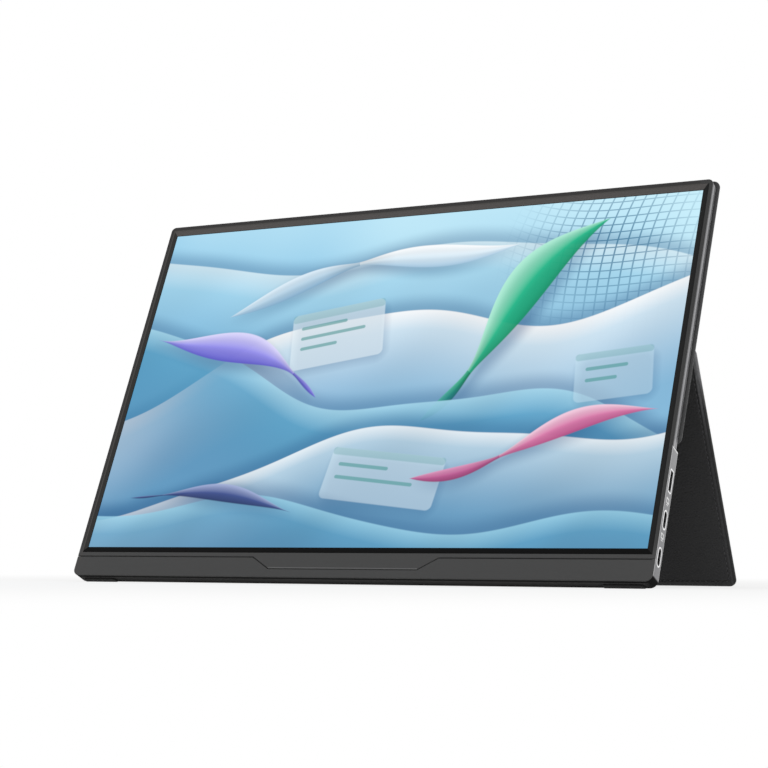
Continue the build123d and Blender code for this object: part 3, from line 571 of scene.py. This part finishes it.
# Painted highlight along the arris between the rim and the bevel, left off on the right
middle, half = bezelFinish["arris"]
arris = addNode(tree, "Math.COMPARE", [notLow, middle, half])
notRight = addNode(tree, "Math.SUBTRACT", [1.0, onRight])
arris = addNode(tree, "Math.MULTIPLY", [arris, notRight])
tone = addNode(tree, "Mix.RGBA", [arris, tone, bezelFinish["arrisTone"]])
grained = shader.inputs["Roughness"].links[0].from_socket
polish = addNode(tree, "Mix.FLOAT", [onBevel, grained, bezelFinish["bevelRoughness"]])
setSockets(tree, shader, {"Base Color": tone, "Roughness": polish})
dress(bezel, "front_bezel", "chin_trim")

# Casing: bead-blasted aluminium, anodised. Its side walls carry painted light and shade with painted
# highlights along their edges, and its matt underside is painted dark as painted shade
casingFinish = {
    "wallFrom": 177.4,
    # Tones across the wall, from the front to the depth given, are painted light and shade: the slim wall is
    # painted dark at the front and bright in the middle like the highlight on a rounded wall, with a painted
    # dark line near its back, and the bay wall is painted bright along its front and back edges
    "slimWall": [
        (0.7, "#4c4c4d"), (1.6, "#8a8a8c"), (3.0, "#b0b0b2"), (4.2, "#a0a0a2"), (4.6, "#121213"),
        (5.1, "#a4a4a6"),
    ],
    "bayWall": [(0.0, "#c9c9ca"), (1.1, "#bdbdbe"), (1.5, "#858587"), (8.7, "#8d8d8f"), (9.0, "#dedede")],
    "underside": [(0.0, "#000000"), (2.5, "#000000"), (3.0, "#484848"), (7.0, "#3a3a3a"), (7.9, "#000000")],
    "slimFrom": 76.1, "topLine": (75.6, 0.45), "topLineTone": "#dedede",
    "topLight": (8.0, 78.0), "topShare": 0.2, "topTone": "#c6c6c7", "metal": 0.85,
    "undersideRise": (3.9, 2.9), "undersideBack": (9.5, 8.9), "undersideRoughness": 0.85,
    "corner": (172.5, 175.5), "cornerTone": "#030303",
}
casing, tree, shader, place, tones = finishMaterial({
    "name": "blastedAnodisedAluminium", "tones": ("#6b6b6e", "#757578"), "cloud": 60, "grain": 0.3,
    "roughness": (0.4, 0.5), "height": 0.01, "relief": 0.3, "grainShare": 0.25, "specular": 0.1,
})
x, u, out = inScreen(tree, place)[:3]
depth = addNode(tree, "Math.MULTIPLY", [out, -1.0])
depthShare = addNode(tree, "MapRange", {"From Max": body["bayDepth"], "Value": depth})
slimTone, bayTone, underTone = [
    addNode(tree, "ValToRGB", {
        "stops": [(position / body["bayDepth"], stopTone) for position, stopTone in casingFinish[wall]],
        "Fac": depthShare,
    })
    for wall in ("slimWall", "bayWall", "underside")
]
# Painted light: the bay wall is painted lighter towards its top
lightUp = addNode(tree, "MapRange", {
    "From": casingFinish["topLight"], "To Max": casingFinish["topShare"], "Value": u,
})
# Painted highlight along the bay's top edge
middle, half = casingFinish["topLine"]
topEdgeHighlight = addNode(tree, "Math.COMPARE", [u, middle, half])
for share, laid in ((lightUp, "topTone"), (topEdgeHighlight, "topLineTone")):
    bayTone = addNode(tree, "Mix.RGBA", [share, bayTone, casingFinish[laid]])
onSlim = addNode(tree, "Math.GREATER_THAN", [u, casingFinish["slimFrom"]])
wallTone = addNode(tree, "Mix.RGBA", [onSlim, bayTone, slimTone])
sideways = addNode(tree, "Math.ABSOLUTE", [x])
onWall = addNode(tree, "Math.GREATER_THAN", [sideways, casingFinish["wallFrom"]])
tone = addNode(tree, "Mix.RGBA", [onWall, tones, wallTone])
# Painted shade: the underside and the walls' lower rounded corners are painted dark, and are made matt and
# non-metallic
onLow, notBehind = [
    addNode(tree, "MapRange.SMOOTHSTEP", {"From": casingFinish[reach], "Value": value})
    for value, reach in ((u, "undersideRise"), (depth, "undersideBack"))
]
shadedUnderside = addNode(tree, "Math.MULTIPLY", [onLow, notBehind])
# Painted shade: the rounded lower corners are painted the darkest part of the underside
corner = addNode(tree, "MapRange", {"From": casingFinish["corner"], "Value": sideways})
underTone = addNode(tree, "Mix.RGBA", [corner, underTone, casingFinish["cornerTone"]])
tone = addNode(tree, "Mix.RGBA", [shadedUnderside, tone, underTone])
blasted = shader.inputs["Roughness"].links[0].from_socket
matt = addNode(tree, "Mix.FLOAT", [shadedUnderside, blasted, casingFinish["undersideRoughness"]])
metal = addNode(tree, "MapRange", {"To": (casingFinish["metal"], 0.0), "Value": shadedUnderside})
setSockets(tree, shader, {"Base Color": tone, "Roughness": matt, "Metallic": metal})
dress(casing, "side_frame", "lower_housing")

# Port tongues: black liquid-crystal polymer with gold-plated contacts half a millimetre apart
contact = {"pitch": 0.5, "share": 0.6, "gold": "#6e5827"}
tongue, tree, shader, place, tones = finishMaterial({
    "name": "goldContactPolymer", "tones": ("#101011", "#181819"), "cloud": 2, "grain": 0.3,
    "roughness": (0.35, 0.5), "height": 0.004, "specular": 0.2,
})
along = addNode(tree, "Math.DIVIDE", [inScreen(tree, place)[1], contact["pitch"]])
along = addNode(tree, "Math.FRACT", [along])
onContact = addNode(tree, "Math.GREATER_THAN", [along, contact["share"]])
plated = addNode(tree, "Mix.RGBA", [onContact, tones, contact["gold"]])
setSockets(tree, shader, {"Base Color": plated, "Metallic": onContact})
dress(tongue, "mini_hdmi_tongue", "usb_c_tongue_upper", "usb_c_tongue_lower")

# The other CAD nodes, each finish with the nodes that have it
plainFinishes = [
    # Rear panel: anodised aluminium sheet, brushed across into long faint streaks
    {"name": "brushedPanelAluminium", "on": ["rear_panel"], "tones": ("#5c5c60", "#68686c"), "cloud": 30,
     "grain": 0.8, "stretch": (0.02, 1, 1), "roughness": (0.32, 0.46), "height": 0.01, "grainShare": 0.7,
     "metallic": 0.9},
    # Feet: moulded silicone rubber, matt with a little dust in it
    {"name": "mouldedFootRubber", "on": ["left_foot", "right_foot"], "tones": ("#0f0f0f", "#1b1b1b"),
     "cloud": 4, "grain": 0.5, "roughness": (0.7, 0.85), "height": 0.03, "specular": 0.2},
    # Buttons: moulded ABS, smoother than the bezel from use
    {"name": "mouldedButtonPlastic", "on": ["power_button", "menu_rocker"], "tones": ("#2a2a2b", "#333334"),
     "cloud": 6, "grain": 0.4, "roughness": (0.35, 0.5), "height": 0.01, "specular": 0.35},
    # Port shells: drawn steel under black nickel plate, dark all the way in
    {"name": "blackNickelPlate", "on": ["mini_hdmi_socket", "usb_c_socket_upper", "usb_c_socket_lower"],
     "tones": ("#161617", "#232325"), "cloud": 5, "grain": 0.3, "stretch": (0.15, 1, 1),
     "roughness": (0.3, 0.45), "height": 0.004, "metallic": 1.0},
    # Magnets: sintered iron alloy under bright nickel plate, warm and mirror-like
    {"name": "brightNickelPlate", "on": ["folio_magnets"], "tones": ("#c9c7c2", "#dcdad6"), "cloud": 5,
     "grain": 0.3, "roughness": (0.16, 0.3), "height": 0.004, "metallic": 1.0},
    # Screws: black-oxide steel, slightly oily, so dark with a soft shine
    {"name": "blackOxideSteel", "on": ["panel_screws", "housing_screws", "board_screws"],
     "tones": ("#242426", "#343437"), "cloud": 2, "grain": 0.2, "roughness": (0.3, 0.45), "height": 0.006,
     "metallic": 0.9},
    # Tray, plate and switches: zinc-coated sheet steel, spangled in pale grey cells
    {"name": "zincCoatedSheet", "on": ["panel_tray", "attach_plate", "key_switches"],
     "tones": ("#8d9092", "#a9acae"), "cloud": 12, "grain": 5, "grainKind": "pebble",
     "roughness": (0.3, 0.5), "height": 0.004, "metallic": 1.0},
    # Boards: glass-epoxy laminate under glossy green solder resist, with its traces as faint cells
    {"name": "solderResistBoard", "on": ["panel_board", "main_board", "key_board", "led_strip"],
     "tones": ("#0f3a26", "#1f5a3c"), "cloud": 8, "grain": 2.2, "grainKind": "pebble",
     "roughness": (0.3, 0.45), "height": 0.03, "grainShare": 0.7},
    # Chips, socket body and speaker boxes: moulded black epoxy, even and dull
    {"name": "mouldedEpoxy", "on": ["board_chips", "headphone_socket", "left_speaker", "right_speaker"],
     "tones": ("#161617", "#212122"), "cloud": 5, "grain": 0.4, "roughness": (0.5, 0.65), "height": 0.02},
    # Flat cables: amber polyimide film over copper tracks, which show as fine stripes
    {"name": "polyimideFilm", "on": ["panel_cable", "key_cable"], "tones": ("#8a4a12", "#b5691f"),
     "cloud": 6, "grain": 1.0, "stretch": (1, 0.02, 0.02), "roughness": (0.25, 0.4), "height": 0.01,
     "grainShare": 0.8},
    # Diffuser films and light guide: cast acrylic sheet, milky and smooth
    {"name": "milkyAcrylicSheet", "on": ["optical_films", "light_guide"], "tones": ("#d8dde0", "#eef1f3"),
     "cloud": 30, "grain": 0.6, "roughness": (0.3, 0.45), "height": 0.005},
    # Reflector: foamed white polyester film, bright and matt
    {"name": "foamedWhiteFilm", "on": ["reflector_sheet"], "tones": ("#e4e5e4", "#f0f0ef"), "cloud": 20,
     "grain": 0.5, "grainKind": "pebble", "roughness": (0.6, 0.75), "height": 0.01},
    # Pads: open-cell polyurethane foam, rough and light-swallowing
    {"name": "openCellFoam", "on": ["panel_pads"], "tones": ("#1a1a1a", "#3a3a3a"), "cloud": 4, "grain": 0.7,
     "grainKind": "pebble", "roughness": (0.85, 0.95), "height": 0.3, "grainShare": 0.7},
    # Stiff boards: pressed recycled greyboard, flecked with fibres
    {"name": "pressedGreyboard", "on": ["back_board", "leg_board"], "tones": ("#7c7871", "#96928a"),
     "cloud": 6, "grain": 0.9, "stretch": (0.3, 1, 1), "roughness": (0.8, 0.92), "height": 0.05},
]
plain = {recipe["name"]: finishMaterial(recipe)[0] for recipe in plainFinishes}
for recipe in plainFinishes:
    dress(plain[recipe["name"]], *recipe["on"])
print("CAD nodes dressed")

# Port edges: a bright diamond-cut lip round each opening, and plain white signs beside them
port = {  # openings as (height up the wall, length, height, corner radius)
    "depth": 5.0, "lip": 0.85, "cover": 0.03, "proud": 0.1, "sunk": 0.3, "segments": 8,
    "openings": [(57.6, 11.6, 3.6, 0.6), (35.8, 9.3, 3.6, 1.78), (15.2, 9.3, 3.6, 1.78)],
}


def frameRound(shape, low, high, bottom, top, radius, line, proud, sunk):
    # A rounded frame of one line width, standing proud of the wall and sunk into it
    face = roundedFace(shape, low, high, bottom, top, radius, port["segments"], proud)
    ring = bmesh.ops.inset_region(
        shape, faces=[face], thickness=line, use_boundary=True, use_even_offset=True
    )["faces"]
    bmesh.ops.delete(shape, geom=[face], context="FACES_ONLY")
    grow(shape, bmesh.ops.extrude_face_region, {"geom": ring}, (0, 0, -proud - sunk))
    bmesh.ops.recalc_face_normals(shape, faces=shape.faces)


shape = bmesh.new()
for centre, length, height, radius in port["openings"]:
    past = port["lip"] - port["cover"]
    frameRound(
        shape, centre - length / 2 - past, centre + length / 2 + past, -port["depth"] - height / 2 - past,
        -port["depth"] + height / 2 + past, radius + past, port["lip"], port["proud"], port["sunk"],
    )
# Port edge: diamond-cut aluminium, mirror-bright where it is cut through the anodising
cutEdge = finishMaterial({
    "name": "diamondCutAluminium", "tones": ("#ececed", "#f8f8f8"), "cloud": 4, "grain": 0.2,
    "roughness": (0.2, 0.32), "height": 0.003, "metallic": 1.0,
})[0]
portLips = makePiece("portLips", shape, onRightWall, cutEdge)
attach(portLips, "monitor")

sign = {
    "places": [46.6, 26.8], "length": 3.9, "height": 3.1, "line": 0.7, "corner": 0.7, "proud": 0.03,
    "sunk": 0.05, "foot": 2.4, "footLine": 0.6, "footGap": 0.5, "footCorner": 0.1, "footSegments": 3,
}
shape = bmesh.new()
for centre in sign["places"]:
    low, high = centre - sign["height"] / 2, centre + sign["height"] / 2
    frameRound(
        shape, low, high, -port["depth"] - sign["length"] / 2, -port["depth"] + sign["length"] / 2,
        sign["corner"], sign["line"], sign["proud"], sign["sunk"],
    )
    roundedFace(
        shape, low - sign["footGap"] - sign["footLine"], low - sign["footGap"],
        -port["depth"] - sign["foot"] / 2, -port["depth"] + sign["foot"] / 2,
        sign["footCorner"], sign["footSegments"], sign["proud"],
    )
# Signs: pad-printed white epoxy ink, dense and satin
ink = finishMaterial({
    "name": "padPrintedInk", "tones": ("#e6e6e6", "#f6f6f6"), "cloud": 2, "grain": 0.2,
    "roughness": (0.4, 0.55), "height": 0.003, "specular": 0.3,
})[0]
signs = makePiece("portSigns", shape, onRightWall, ink)
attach(signs, "monitor")
print("port lips and signs made")

# Cross-head screws in the bay's back wall, seated in their counterbores
screwHead = {
    "radius": 1.5, "height": 0.6, "seat": 9.2, "arm": 0.85, "blade": 0.17, "sink": 0.32, "round": 0.18,
    "segments": 24, "roundSegments": 3, "places": [(-150.0, 6.4), (-91.0, 6.4), (91.0, 6.4), (150.0, 6.4)],
}
one = bmesh.new()
cross = bmesh.ops.create_grid(one, x_segments=1, y_segments=1, size=screwHead["blade"])["verts"]
reach = screwHead["arm"] - screwHead["blade"]
for edge in list(cross[0].link_faces[0].edges):
    way = (edge.verts[0].co + edge.verts[1].co).normalized() * reach
    grow(one, bmesh.ops.extrude_edge_only, {"edges": [edge]}, way)
slot = list(one.faces)
outline = [e for e in one.edges if len(e.link_faces) == 1]
rim = bmesh.ops.create_circle(one, segments=screwHead["segments"], radius=screwHead["radius"])["verts"]
rimEdges = list({e for v in rim for e in v.link_edges})
bmesh.ops.triangle_fill(one, edges=outline + rimEdges, use_beauty=True)
grow(one, bmesh.ops.extrude_face_region, {"geom": slot}, (0, 0, -screwHead["sink"]))
grow(one, bmesh.ops.extrude_edge_only, {"edges": rimEdges}, (0, 0, -screwHead["height"]))
bmesh.ops.bevel(
    one, geom=rimEdges, offset=screwHead["round"], segments=screwHead["roundSegments"], profile=0.5,
    affect="EDGES", material=-1,
)
bmesh.ops.recalc_face_normals(one, faces=one.faces)
level = screwHead["seat"] + screwHead["height"]
laid = [Matrix.Translation((centre, height, level)) for centre, height in screwHead["places"]]
crossHeads = makePiece("crossHeadScrews", copies(one, laid), onBack, plain["blackOxideSteel"])
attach(crossHeads, "monitor")
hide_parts("housing_screws")
print("cross-head screws made")

# Display: etched antiglare glass, with no sharp reflection, over a lit picture. The picture is silk sheets
# and ribbons over a pale sky, in decimetres across and up the screen
picture = {
    "unit": 100.0, "sky": [(0.0, "#4f94c0"), (0.35, "#78b5da"), (0.65, "#9bd0ec"), (1.0, "#c8eefb")],
    "skyRise": 0.30, "skyRun": 0.10, "skyCloud": 0.5, "skyGrain": 0.9, "shadow": "#245a8c",
    "sheets": [
        {"at": 1.86, "slope": -0.12, "swings": [(0.16, 1.5, 0.2), (0.03, 4.2, 1.0)], "reach": 0.75,
         "stops": [(0.0, "#e2f6fd"), (0.25, "#a4d5ec"), (1.0, "#5c9fca")], "cover": 0.75,
         "folds": (5.0, 0.5)},
        {"at": 1.36, "slope": 0.20, "swings": [(0.20, 1.9, 2.4), (0.03, 5.0, 0.0)], "reach": 0.65,
         "stops": [(0.0, "#ffffff"), (0.2, "#d3e6f3"), (1.0, "#86b3d6")], "cover": 0.92,
         "folds": (4.0, 2.0)},
        {"at": 0.98, "slope": -0.20, "swings": [(0.16, 2.3, -0.9), (0.02, 6.0, 1.0)], "reach": 0.8,
         "stops": [(0.0, "#a7d9ee"), (0.2, "#5aa3c9"), (1.0, "#2f78a6")], "cover": 0.9,
         "folds": (6.0, 1.0)},
        {"at": 0.58, "slope": 0.14, "swings": [(0.15, 2.0, 1.6), (0.02, 5.5, 2.0)], "reach": 0.5,
         "stops": [(0.0, "#f3fafe"), (0.2, "#bdd7e8"), (1.0, "#7aa6c6")], "cover": 0.9,
         "folds": (5.0, 3.0)},
        {"at": 0.20, "slope": -0.05, "swings": [(0.09, 2.8, 3.4), (0.01, 6.0, 0.0)], "reach": 0.4,
         "stops": [(0.0, "#9bd3ea"), (0.3, "#5c9fc4"), (1.0, "#40789f")], "cover": 0.85,
         "folds": (7.0, 0.0)},
    ],
    "ribbons": [
        {"after": 1, "centre": (0.72, 1.42), "turn": 48, "swings": [(0.12, 3.1, 0.4)], "half": 0.15,
         "span": 0.78, "twist": (2.3, 0.9), "front": ("#0a8f66", "#22b98a", "#b6f0da"),
         "back": ("#05684b", "#0f9c71", "#5fd3ac")},
        {"after": 2, "centre": (-1.02, 1.22), "turn": -24, "swings": [(0.10, 3.4, 1.0)], "half": 0.11,
         "span": 0.66, "twist": (3.0, 1.9), "front": ("#5a55c4", "#958fec", "#e2ddfd"),
         "back": ("#4641a4", "#6d68d2", "#a7a2f1")},
        {"after": 3, "centre": (0.98, 0.62), "turn": 14, "swings": [(0.07, 4.0, 0.2)], "half": 0.08,
         "span": 0.72, "twist": (3.2, 0.6), "front": ("#b04a80", "#d97aa9", "#f8d4e5"),
         "back": ("#8c3365", "#bb5a90", "#e29ac0")},
        {"after": 0, "centre": (-0.25, 1.78), "turn": 12, "swings": [(0.08, 3.0, 2.0)], "half": 0.10,
         "span": 0.95, "twist": (2.6, 0.2), "front": ("#9fc3dd", "#dcedf8", "#ffffff"),
         "back": ("#7fa9c9", "#b3d0e4", "#e2f1fb")},
        {"after": 4, "centre": (-0.95, 0.30), "turn": -6, "swings": [(0.05, 4.2, 1.4)], "half": 0.06,
         "span": 0.58, "twist": (3.4, 1.2), "front": ("#24335f", "#41528f", "#a9b6dd"),
         "back": ("#1b2748", "#33427a", "#7c8bbf")},
    ],
    "panes": [
        {"after": 1, "centre": (-0.38, 1.36), "turn": 9, "half": (0.30, 0.19), "tone": "#e9f6fc",
         "cover": 0.5, "bars": [(-0.09, 0.09, 0.15), (-0.03, 0.02, 0.21), (-0.12, -0.05, 0.12)]},
        {"after": 3, "centre": (0.12, 0.42), "turn": -7, "half": (0.36, 0.16), "tone": "#d9edf8",
         "cover": 0.45, "bars": [(-0.14, 0.06, 0.16), (-0.05, -0.02, 0.25)]},
        {"after": 2, "centre": (1.38, 1.02), "turn": 6, "half": (0.22, 0.15), "tone": "#c9e6f5",
         "cover": 0.4, "bars": [(-0.04, 0.05, 0.12), (-0.07, -0.02, 0.09)]},
    ],
    "net": {
        "after": 0, "pitch": (0.050, 0.062), "bend": (0.20, -0.16), "pace": 2.2, "line": 0.05,
        "centre": (1.25, 1.86), "reach": 0.75, "share": 0.8, "tone": "#2f6f93",
    },
    "sheetLook": {
        "shadeReach": 0.13, "shadeShare": 0.42, "skew": 0.9, "silk": 0.95, "fold": 0.035,
        "fineFold": (0.02, 2.3, 1.0), "thinReach": 1.5, "thinShare": 0.35,
    },
    "ribbonLook": {
        "leastOpen": 0.03, "taper": 0.8, "thinnest": 0.002, "shadeDrop": 0.35, "shadeEdge": (-0.04, 0.07),
        "shadeShare": 0.5, "middle": 0.45, "silk": 0.97, "folds": [(0.03, 8.0, 1.0)], "dimBelow": 0.6,
        "dim": 0.72, "cover": 0.97,
    },
    "paneLook": {
        "radius": 0.035, "shadeAt": (0.015, -0.03), "shadeShare": 0.35, "band": 0.14, "bandEdge": 0.004,
        "bandShare": 0.35, "barHalf": 0.011, "barEdge": 0.003, "barShare": 0.7, "barTone": "#4b9a98",
    },
    "edge": 0.008, "glassTone": "#050506", "roughness": 0.45, "specular": 0.05, "glow": 1.0,
}


def wavy(tree, along, start, swings):
    # A line that drifts by a few sine swings of (height, pace, phase)
    for swing, pace, phase in swings:
        turn = addNode(tree, "Math.MULTIPLY_ADD", [along, pace, phase])
        turn = addNode(tree, "Math.SINE", [turn])
        start = addNode(tree, "Math.MULTIPLY_ADD", [turn, swing, start])
    return start


def roundedMask(tree, local, centre, half, radius, soft):
    # 1 inside a rounded rectangle and 0 outside, with a soft border
    away = addNode(tree, "VectorMath.SUBTRACT", [local, (*centre, 0)])
    away = addNode(tree, "VectorMath.ABSOLUTE", [away])
    away = addNode(tree, "VectorMath.SUBTRACT", [away, (half[0] - radius, half[1] - radius, 1)])
    away = addNode(tree, "VectorMath.MAXIMUM", [away, (0, 0, 0)])
    away = addNode(tree, "VectorMath.LENGTH", [away])
    return addNode(
        tree, "MapRange", {"From": (radius - soft, radius + soft), "To": (1.0, 0.0), "Value": away}
    )


def drawNet(tree, canvas, here, run, rise):
    net, lines = picture["net"], []
    for pitch, bend, (first, second) in zip(net["pitch"], net["bend"], ((run, rise), (rise, run))):
        bent = wavy(tree, first, second, [(bend, net["pace"], 0.0)])
        bent = addNode(tree, "Math.MULTIPLY_ADD", [first, bend * 2, bent])
        bent = addNode(tree, "Math.DIVIDE", [bent, pitch])
        bent = addNode(tree, "Math.PINGPONG", [bent, 0.5])
        lines.append(addNode(tree, "MapRange", {
            "From": (net["line"], 2 * net["line"]), "To": (1.0, 0.0), "Value": bent,
        }))
    away = addNode(tree, "VectorMath.DISTANCE", [here, (*net["centre"], 0)])
    nearby = addNode(tree, "MapRange.SMOOTHSTEP", {
        "From Max": net["reach"], "To": (net["share"], 0.0), "Value": away,
    })
    share = addNode(tree, "Math.MAXIMUM", lines)
    share = addNode(tree, "Math.MULTIPLY", [share, nearby])
    return addNode(tree, "Mix.RGBA", [share, canvas, net["tone"]])


def drawSheet(tree, canvas, sheet, run, rise):
    look = picture["sheetLook"]
    start = addNode(tree, "Math.MULTIPLY_ADD", [run, sheet["slope"], sheet["at"]])
    deep = addNode(tree, "Math.SUBTRACT", [wavy(tree, run, start, sheet["swings"]), rise])
    # Soft shadow on what lies behind the sheet's upper edge
    near = addNode(tree, "Math.ABSOLUTE", [deep])
    shade = addNode(tree, "MapRange.SMOOTHSTEP", {
        "From Max": look["shadeReach"], "To": (look["shadeShare"], 0.0), "Value": near,
    })
    canvas = addNode(tree, "Mix.RGBA", [shade, canvas, picture["shadow"]])
    depthShare = addNode(tree, "MapRange", {"From Max": sheet["reach"], "Value": deep})
    fill = addNode(tree, "ValToRGB", {"stops": sheet["stops"], "Fac": depthShare})
    # Faint folds across the silk
    skew = addNode(tree, "Math.MULTIPLY_ADD", [deep, look["skew"], run])
    (pace, phase), (fine, finePace, finePhase) = sheet["folds"], look["fineFold"]
    silk = wavy(tree, skew, look["silk"], [(look["fold"], pace, phase), (fine, finePace * pace, finePhase)])
    fill = addNode(tree, "VectorMath.SCALE", {0: fill, "Scale": silk})
    thin = addNode(tree, "MapRange.SMOOTHSTEP", {
        "From Max": look["thinReach"] * sheet["reach"],
        "To": (sheet["cover"], look["thinShare"] * sheet["cover"]), "Value": deep,
    })
    inside = addNode(tree, "MapRange", {"From Max": picture["edge"], "Value": deep})
    share = addNode(tree, "Math.MULTIPLY", [inside, thin])
    return addNode(tree, "Mix.RGBA", [share, canvas, fill])


def drawRibbon(tree, canvas, ribbon, here):
    look = picture["ribbonLook"]
    local = addNode(tree, "Mapping", {
        "vector_type": "TEXTURE", "Location": (*ribbon["centre"], 0),
        "Rotation": (0, 0, math.radians(ribbon["turn"])), "Vector": here,
    })
    alongIt, acrossIt = addNode(tree, "SeparateXYZ", [local]).node.outputs[:2]
    off = addNode(tree, "Math.SUBTRACT", [acrossIt, wavy(tree, alongIt, 0.0, ribbon["swings"])])
    # It twists about its own length, so it narrows and turns its other side
    twist = wavy(tree, alongIt, 0.0, [(1.0, *ribbon["twist"])])
    openness = addNode(tree, "Math.MULTIPLY_ADD", [twist, twist, look["leastOpen"]])
    openness = addNode(tree, "Math.SQRT", [openness])
    ends = addNode(tree, "Math.DIVIDE", [alongIt, ribbon["span"]])
    ends = addNode(tree, "Math.MULTIPLY", [ends, ends])
    ends = addNode(tree, "Math.SUBTRACT", {"use_clamp": True, 0: 1.0, 1: ends})
    ends = addNode(tree, "Math.POWER", [ends, look["taper"]])
    wide = addNode(tree, "Math.MULTIPLY", [openness, ribbon["half"]])
    wide = addNode(tree, "Math.MULTIPLY", [wide, ends])
    there = addNode(tree, "Math.GREATER_THAN", [wide, look["thinnest"]])
    # Soft shadow, a little below the ribbon
    below = addNode(tree, "Math.ADD", [off, look["shadeDrop"] * ribbon["half"]])
    below = addNode(tree, "Math.ABSOLUTE", [below])
    below = addNode(tree, "Math.SUBTRACT", [below, wide])
    shade = addNode(tree, "MapRange.SMOOTHSTEP", {
        "From": look["shadeEdge"], "To": (look["shadeShare"], 0.0), "Value": below,
    })
    shade = addNode(tree, "Math.MULTIPLY", [shade, ends])
    canvas = addNode(tree, "Mix.RGBA", [shade, canvas, picture["shadow"]])
    over = addNode(tree, "Math.MAXIMUM", [wide, look["thinnest"] / 2])
    over = addNode(tree, "Math.DIVIDE", [off, over])
    overShare = addNode(tree, "MapRange", {"From Min": -1.0, "Value": over})
    front, back = [
        addNode(tree, "ValToRGB", {
            "stops": list(zip((0.0, look["middle"], 1.0), ribbon[side])), "Fac": overShare,
        })
        for side in ("front", "back")
    ]
    facing = addNode(tree, "Math.GREATER_THAN", [twist, 0.0])
    fill = addNode(tree, "Mix.RGBA", [facing, back, front])
    dim = addNode(tree, "MapRange", {"From Max": look["dimBelow"], "To Min": look["dim"], "Value": openness})
    silk = addNode(tree, "Math.MULTIPLY", [wavy(tree, over, look["silk"], look["folds"]), dim])
    fill = addNode(tree, "VectorMath.SCALE", {0: fill, "Scale": silk})
    inside = addNode(tree, "Math.ABSOLUTE", [off])
    inside = addNode(tree, "Math.SUBTRACT", [wide, inside])
    inside = addNode(tree, "MapRange", {
        "From Max": picture["edge"], "To Max": look["cover"], "Value": inside,
    })
    share = addNode(tree, "Math.MULTIPLY", [inside, there])
    return addNode(tree, "Mix.RGBA", [share, canvas, fill])


def drawPane(tree, canvas, pane, here):
    look, half = picture["paneLook"], pane["half"]
    local = addNode(tree, "Mapping", {
        "vector_type": "TEXTURE", "Location": (*pane["centre"], 0),
        "Rotation": (0, 0, math.radians(pane["turn"])), "Vector": here,
    })
    radius, band = look["radius"], look["band"] * half[1]
    # Each layer's centre, half size, corner radius, soft edge, tone and cover: shadow, pane, band and bars
    layers = [
        (look["shadeAt"], half, 2 * radius, radius, picture["shadow"], look["shadeShare"]),
        ((0, 0), half, radius, picture["edge"] / 2, pane["tone"], pane["cover"]),
        ((0, half[1] - band), (half[0], band), radius / 2, look["bandEdge"], look["barTone"],
         look["bandShare"]),
    ]
    for aside, upwards, length in pane["bars"]:
        layers.append((
            (aside, upwards), (length, look["barHalf"]), look["barHalf"], look["barEdge"], look["barTone"],
            look["barShare"],
        ))
    for *outline, tone, cover in layers:
        mask = roundedMask(tree, local, *outline)
        share = addNode(tree, "Math.MULTIPLY", [mask, cover])
        canvas = addNode(tree, "Mix.RGBA", [share, canvas, tone])
    return canvas


display, tree, shader = newMaterial("antiglareDisplayGlass")
x, u = inScreen(tree, addNode(tree, "TexCoord", {}, "Object"))[:2]
run = addNode(tree, "Math.DIVIDE", [x, picture["unit"]])
rise = addNode(tree, "Math.SUBTRACT", [u, body["activeLow"]])
rise = addNode(tree, "Math.DIVIDE", [rise, picture["unit"]])
here = addNode(tree, "CombineXYZ", [run, rise])
drift = addNode(tree, "TexNoise", {"Scale": picture["skyGrain"], "Detail": 1.0, "Vector": here}, "Fac")
skyPlace = addNode(tree, "Math.MULTIPLY", [drift, picture["skyCloud"]])
skyPlace = addNode(tree, "Math.MULTIPLY_ADD", [rise, picture["skyRise"], skyPlace])
skyPlace = addNode(tree, "Math.MULTIPLY_ADD", [run, picture["skyRun"], skyPlace])
canvas = addNode(tree, "ValToRGB", {"stops": picture["sky"], "Fac": skyPlace})
for step, sheet in enumerate(picture["sheets"]):
    canvas = drawSheet(tree, canvas, sheet, run, rise)
    if picture["net"]["after"] == step:
        canvas = drawNet(tree, canvas, here, run, rise)
    for pane in picture["panes"]:
        if pane["after"] == step:
            canvas = drawPane(tree, canvas, pane, here)
    for ribbon in picture["ribbons"]:
        if ribbon["after"] == step:
            canvas = drawRibbon(tree, canvas, ribbon, here)
setSockets(tree, shader, {
    "Base Color": picture["glassTone"], "Roughness": picture["roughness"],
    "Specular IOR Level": picture["specular"], "Emission Color": canvas, "Emission Strength": picture["glow"],
})
dress(display, "lcd_cell")
print("picture drawn with", len(tree.nodes), "nodes")
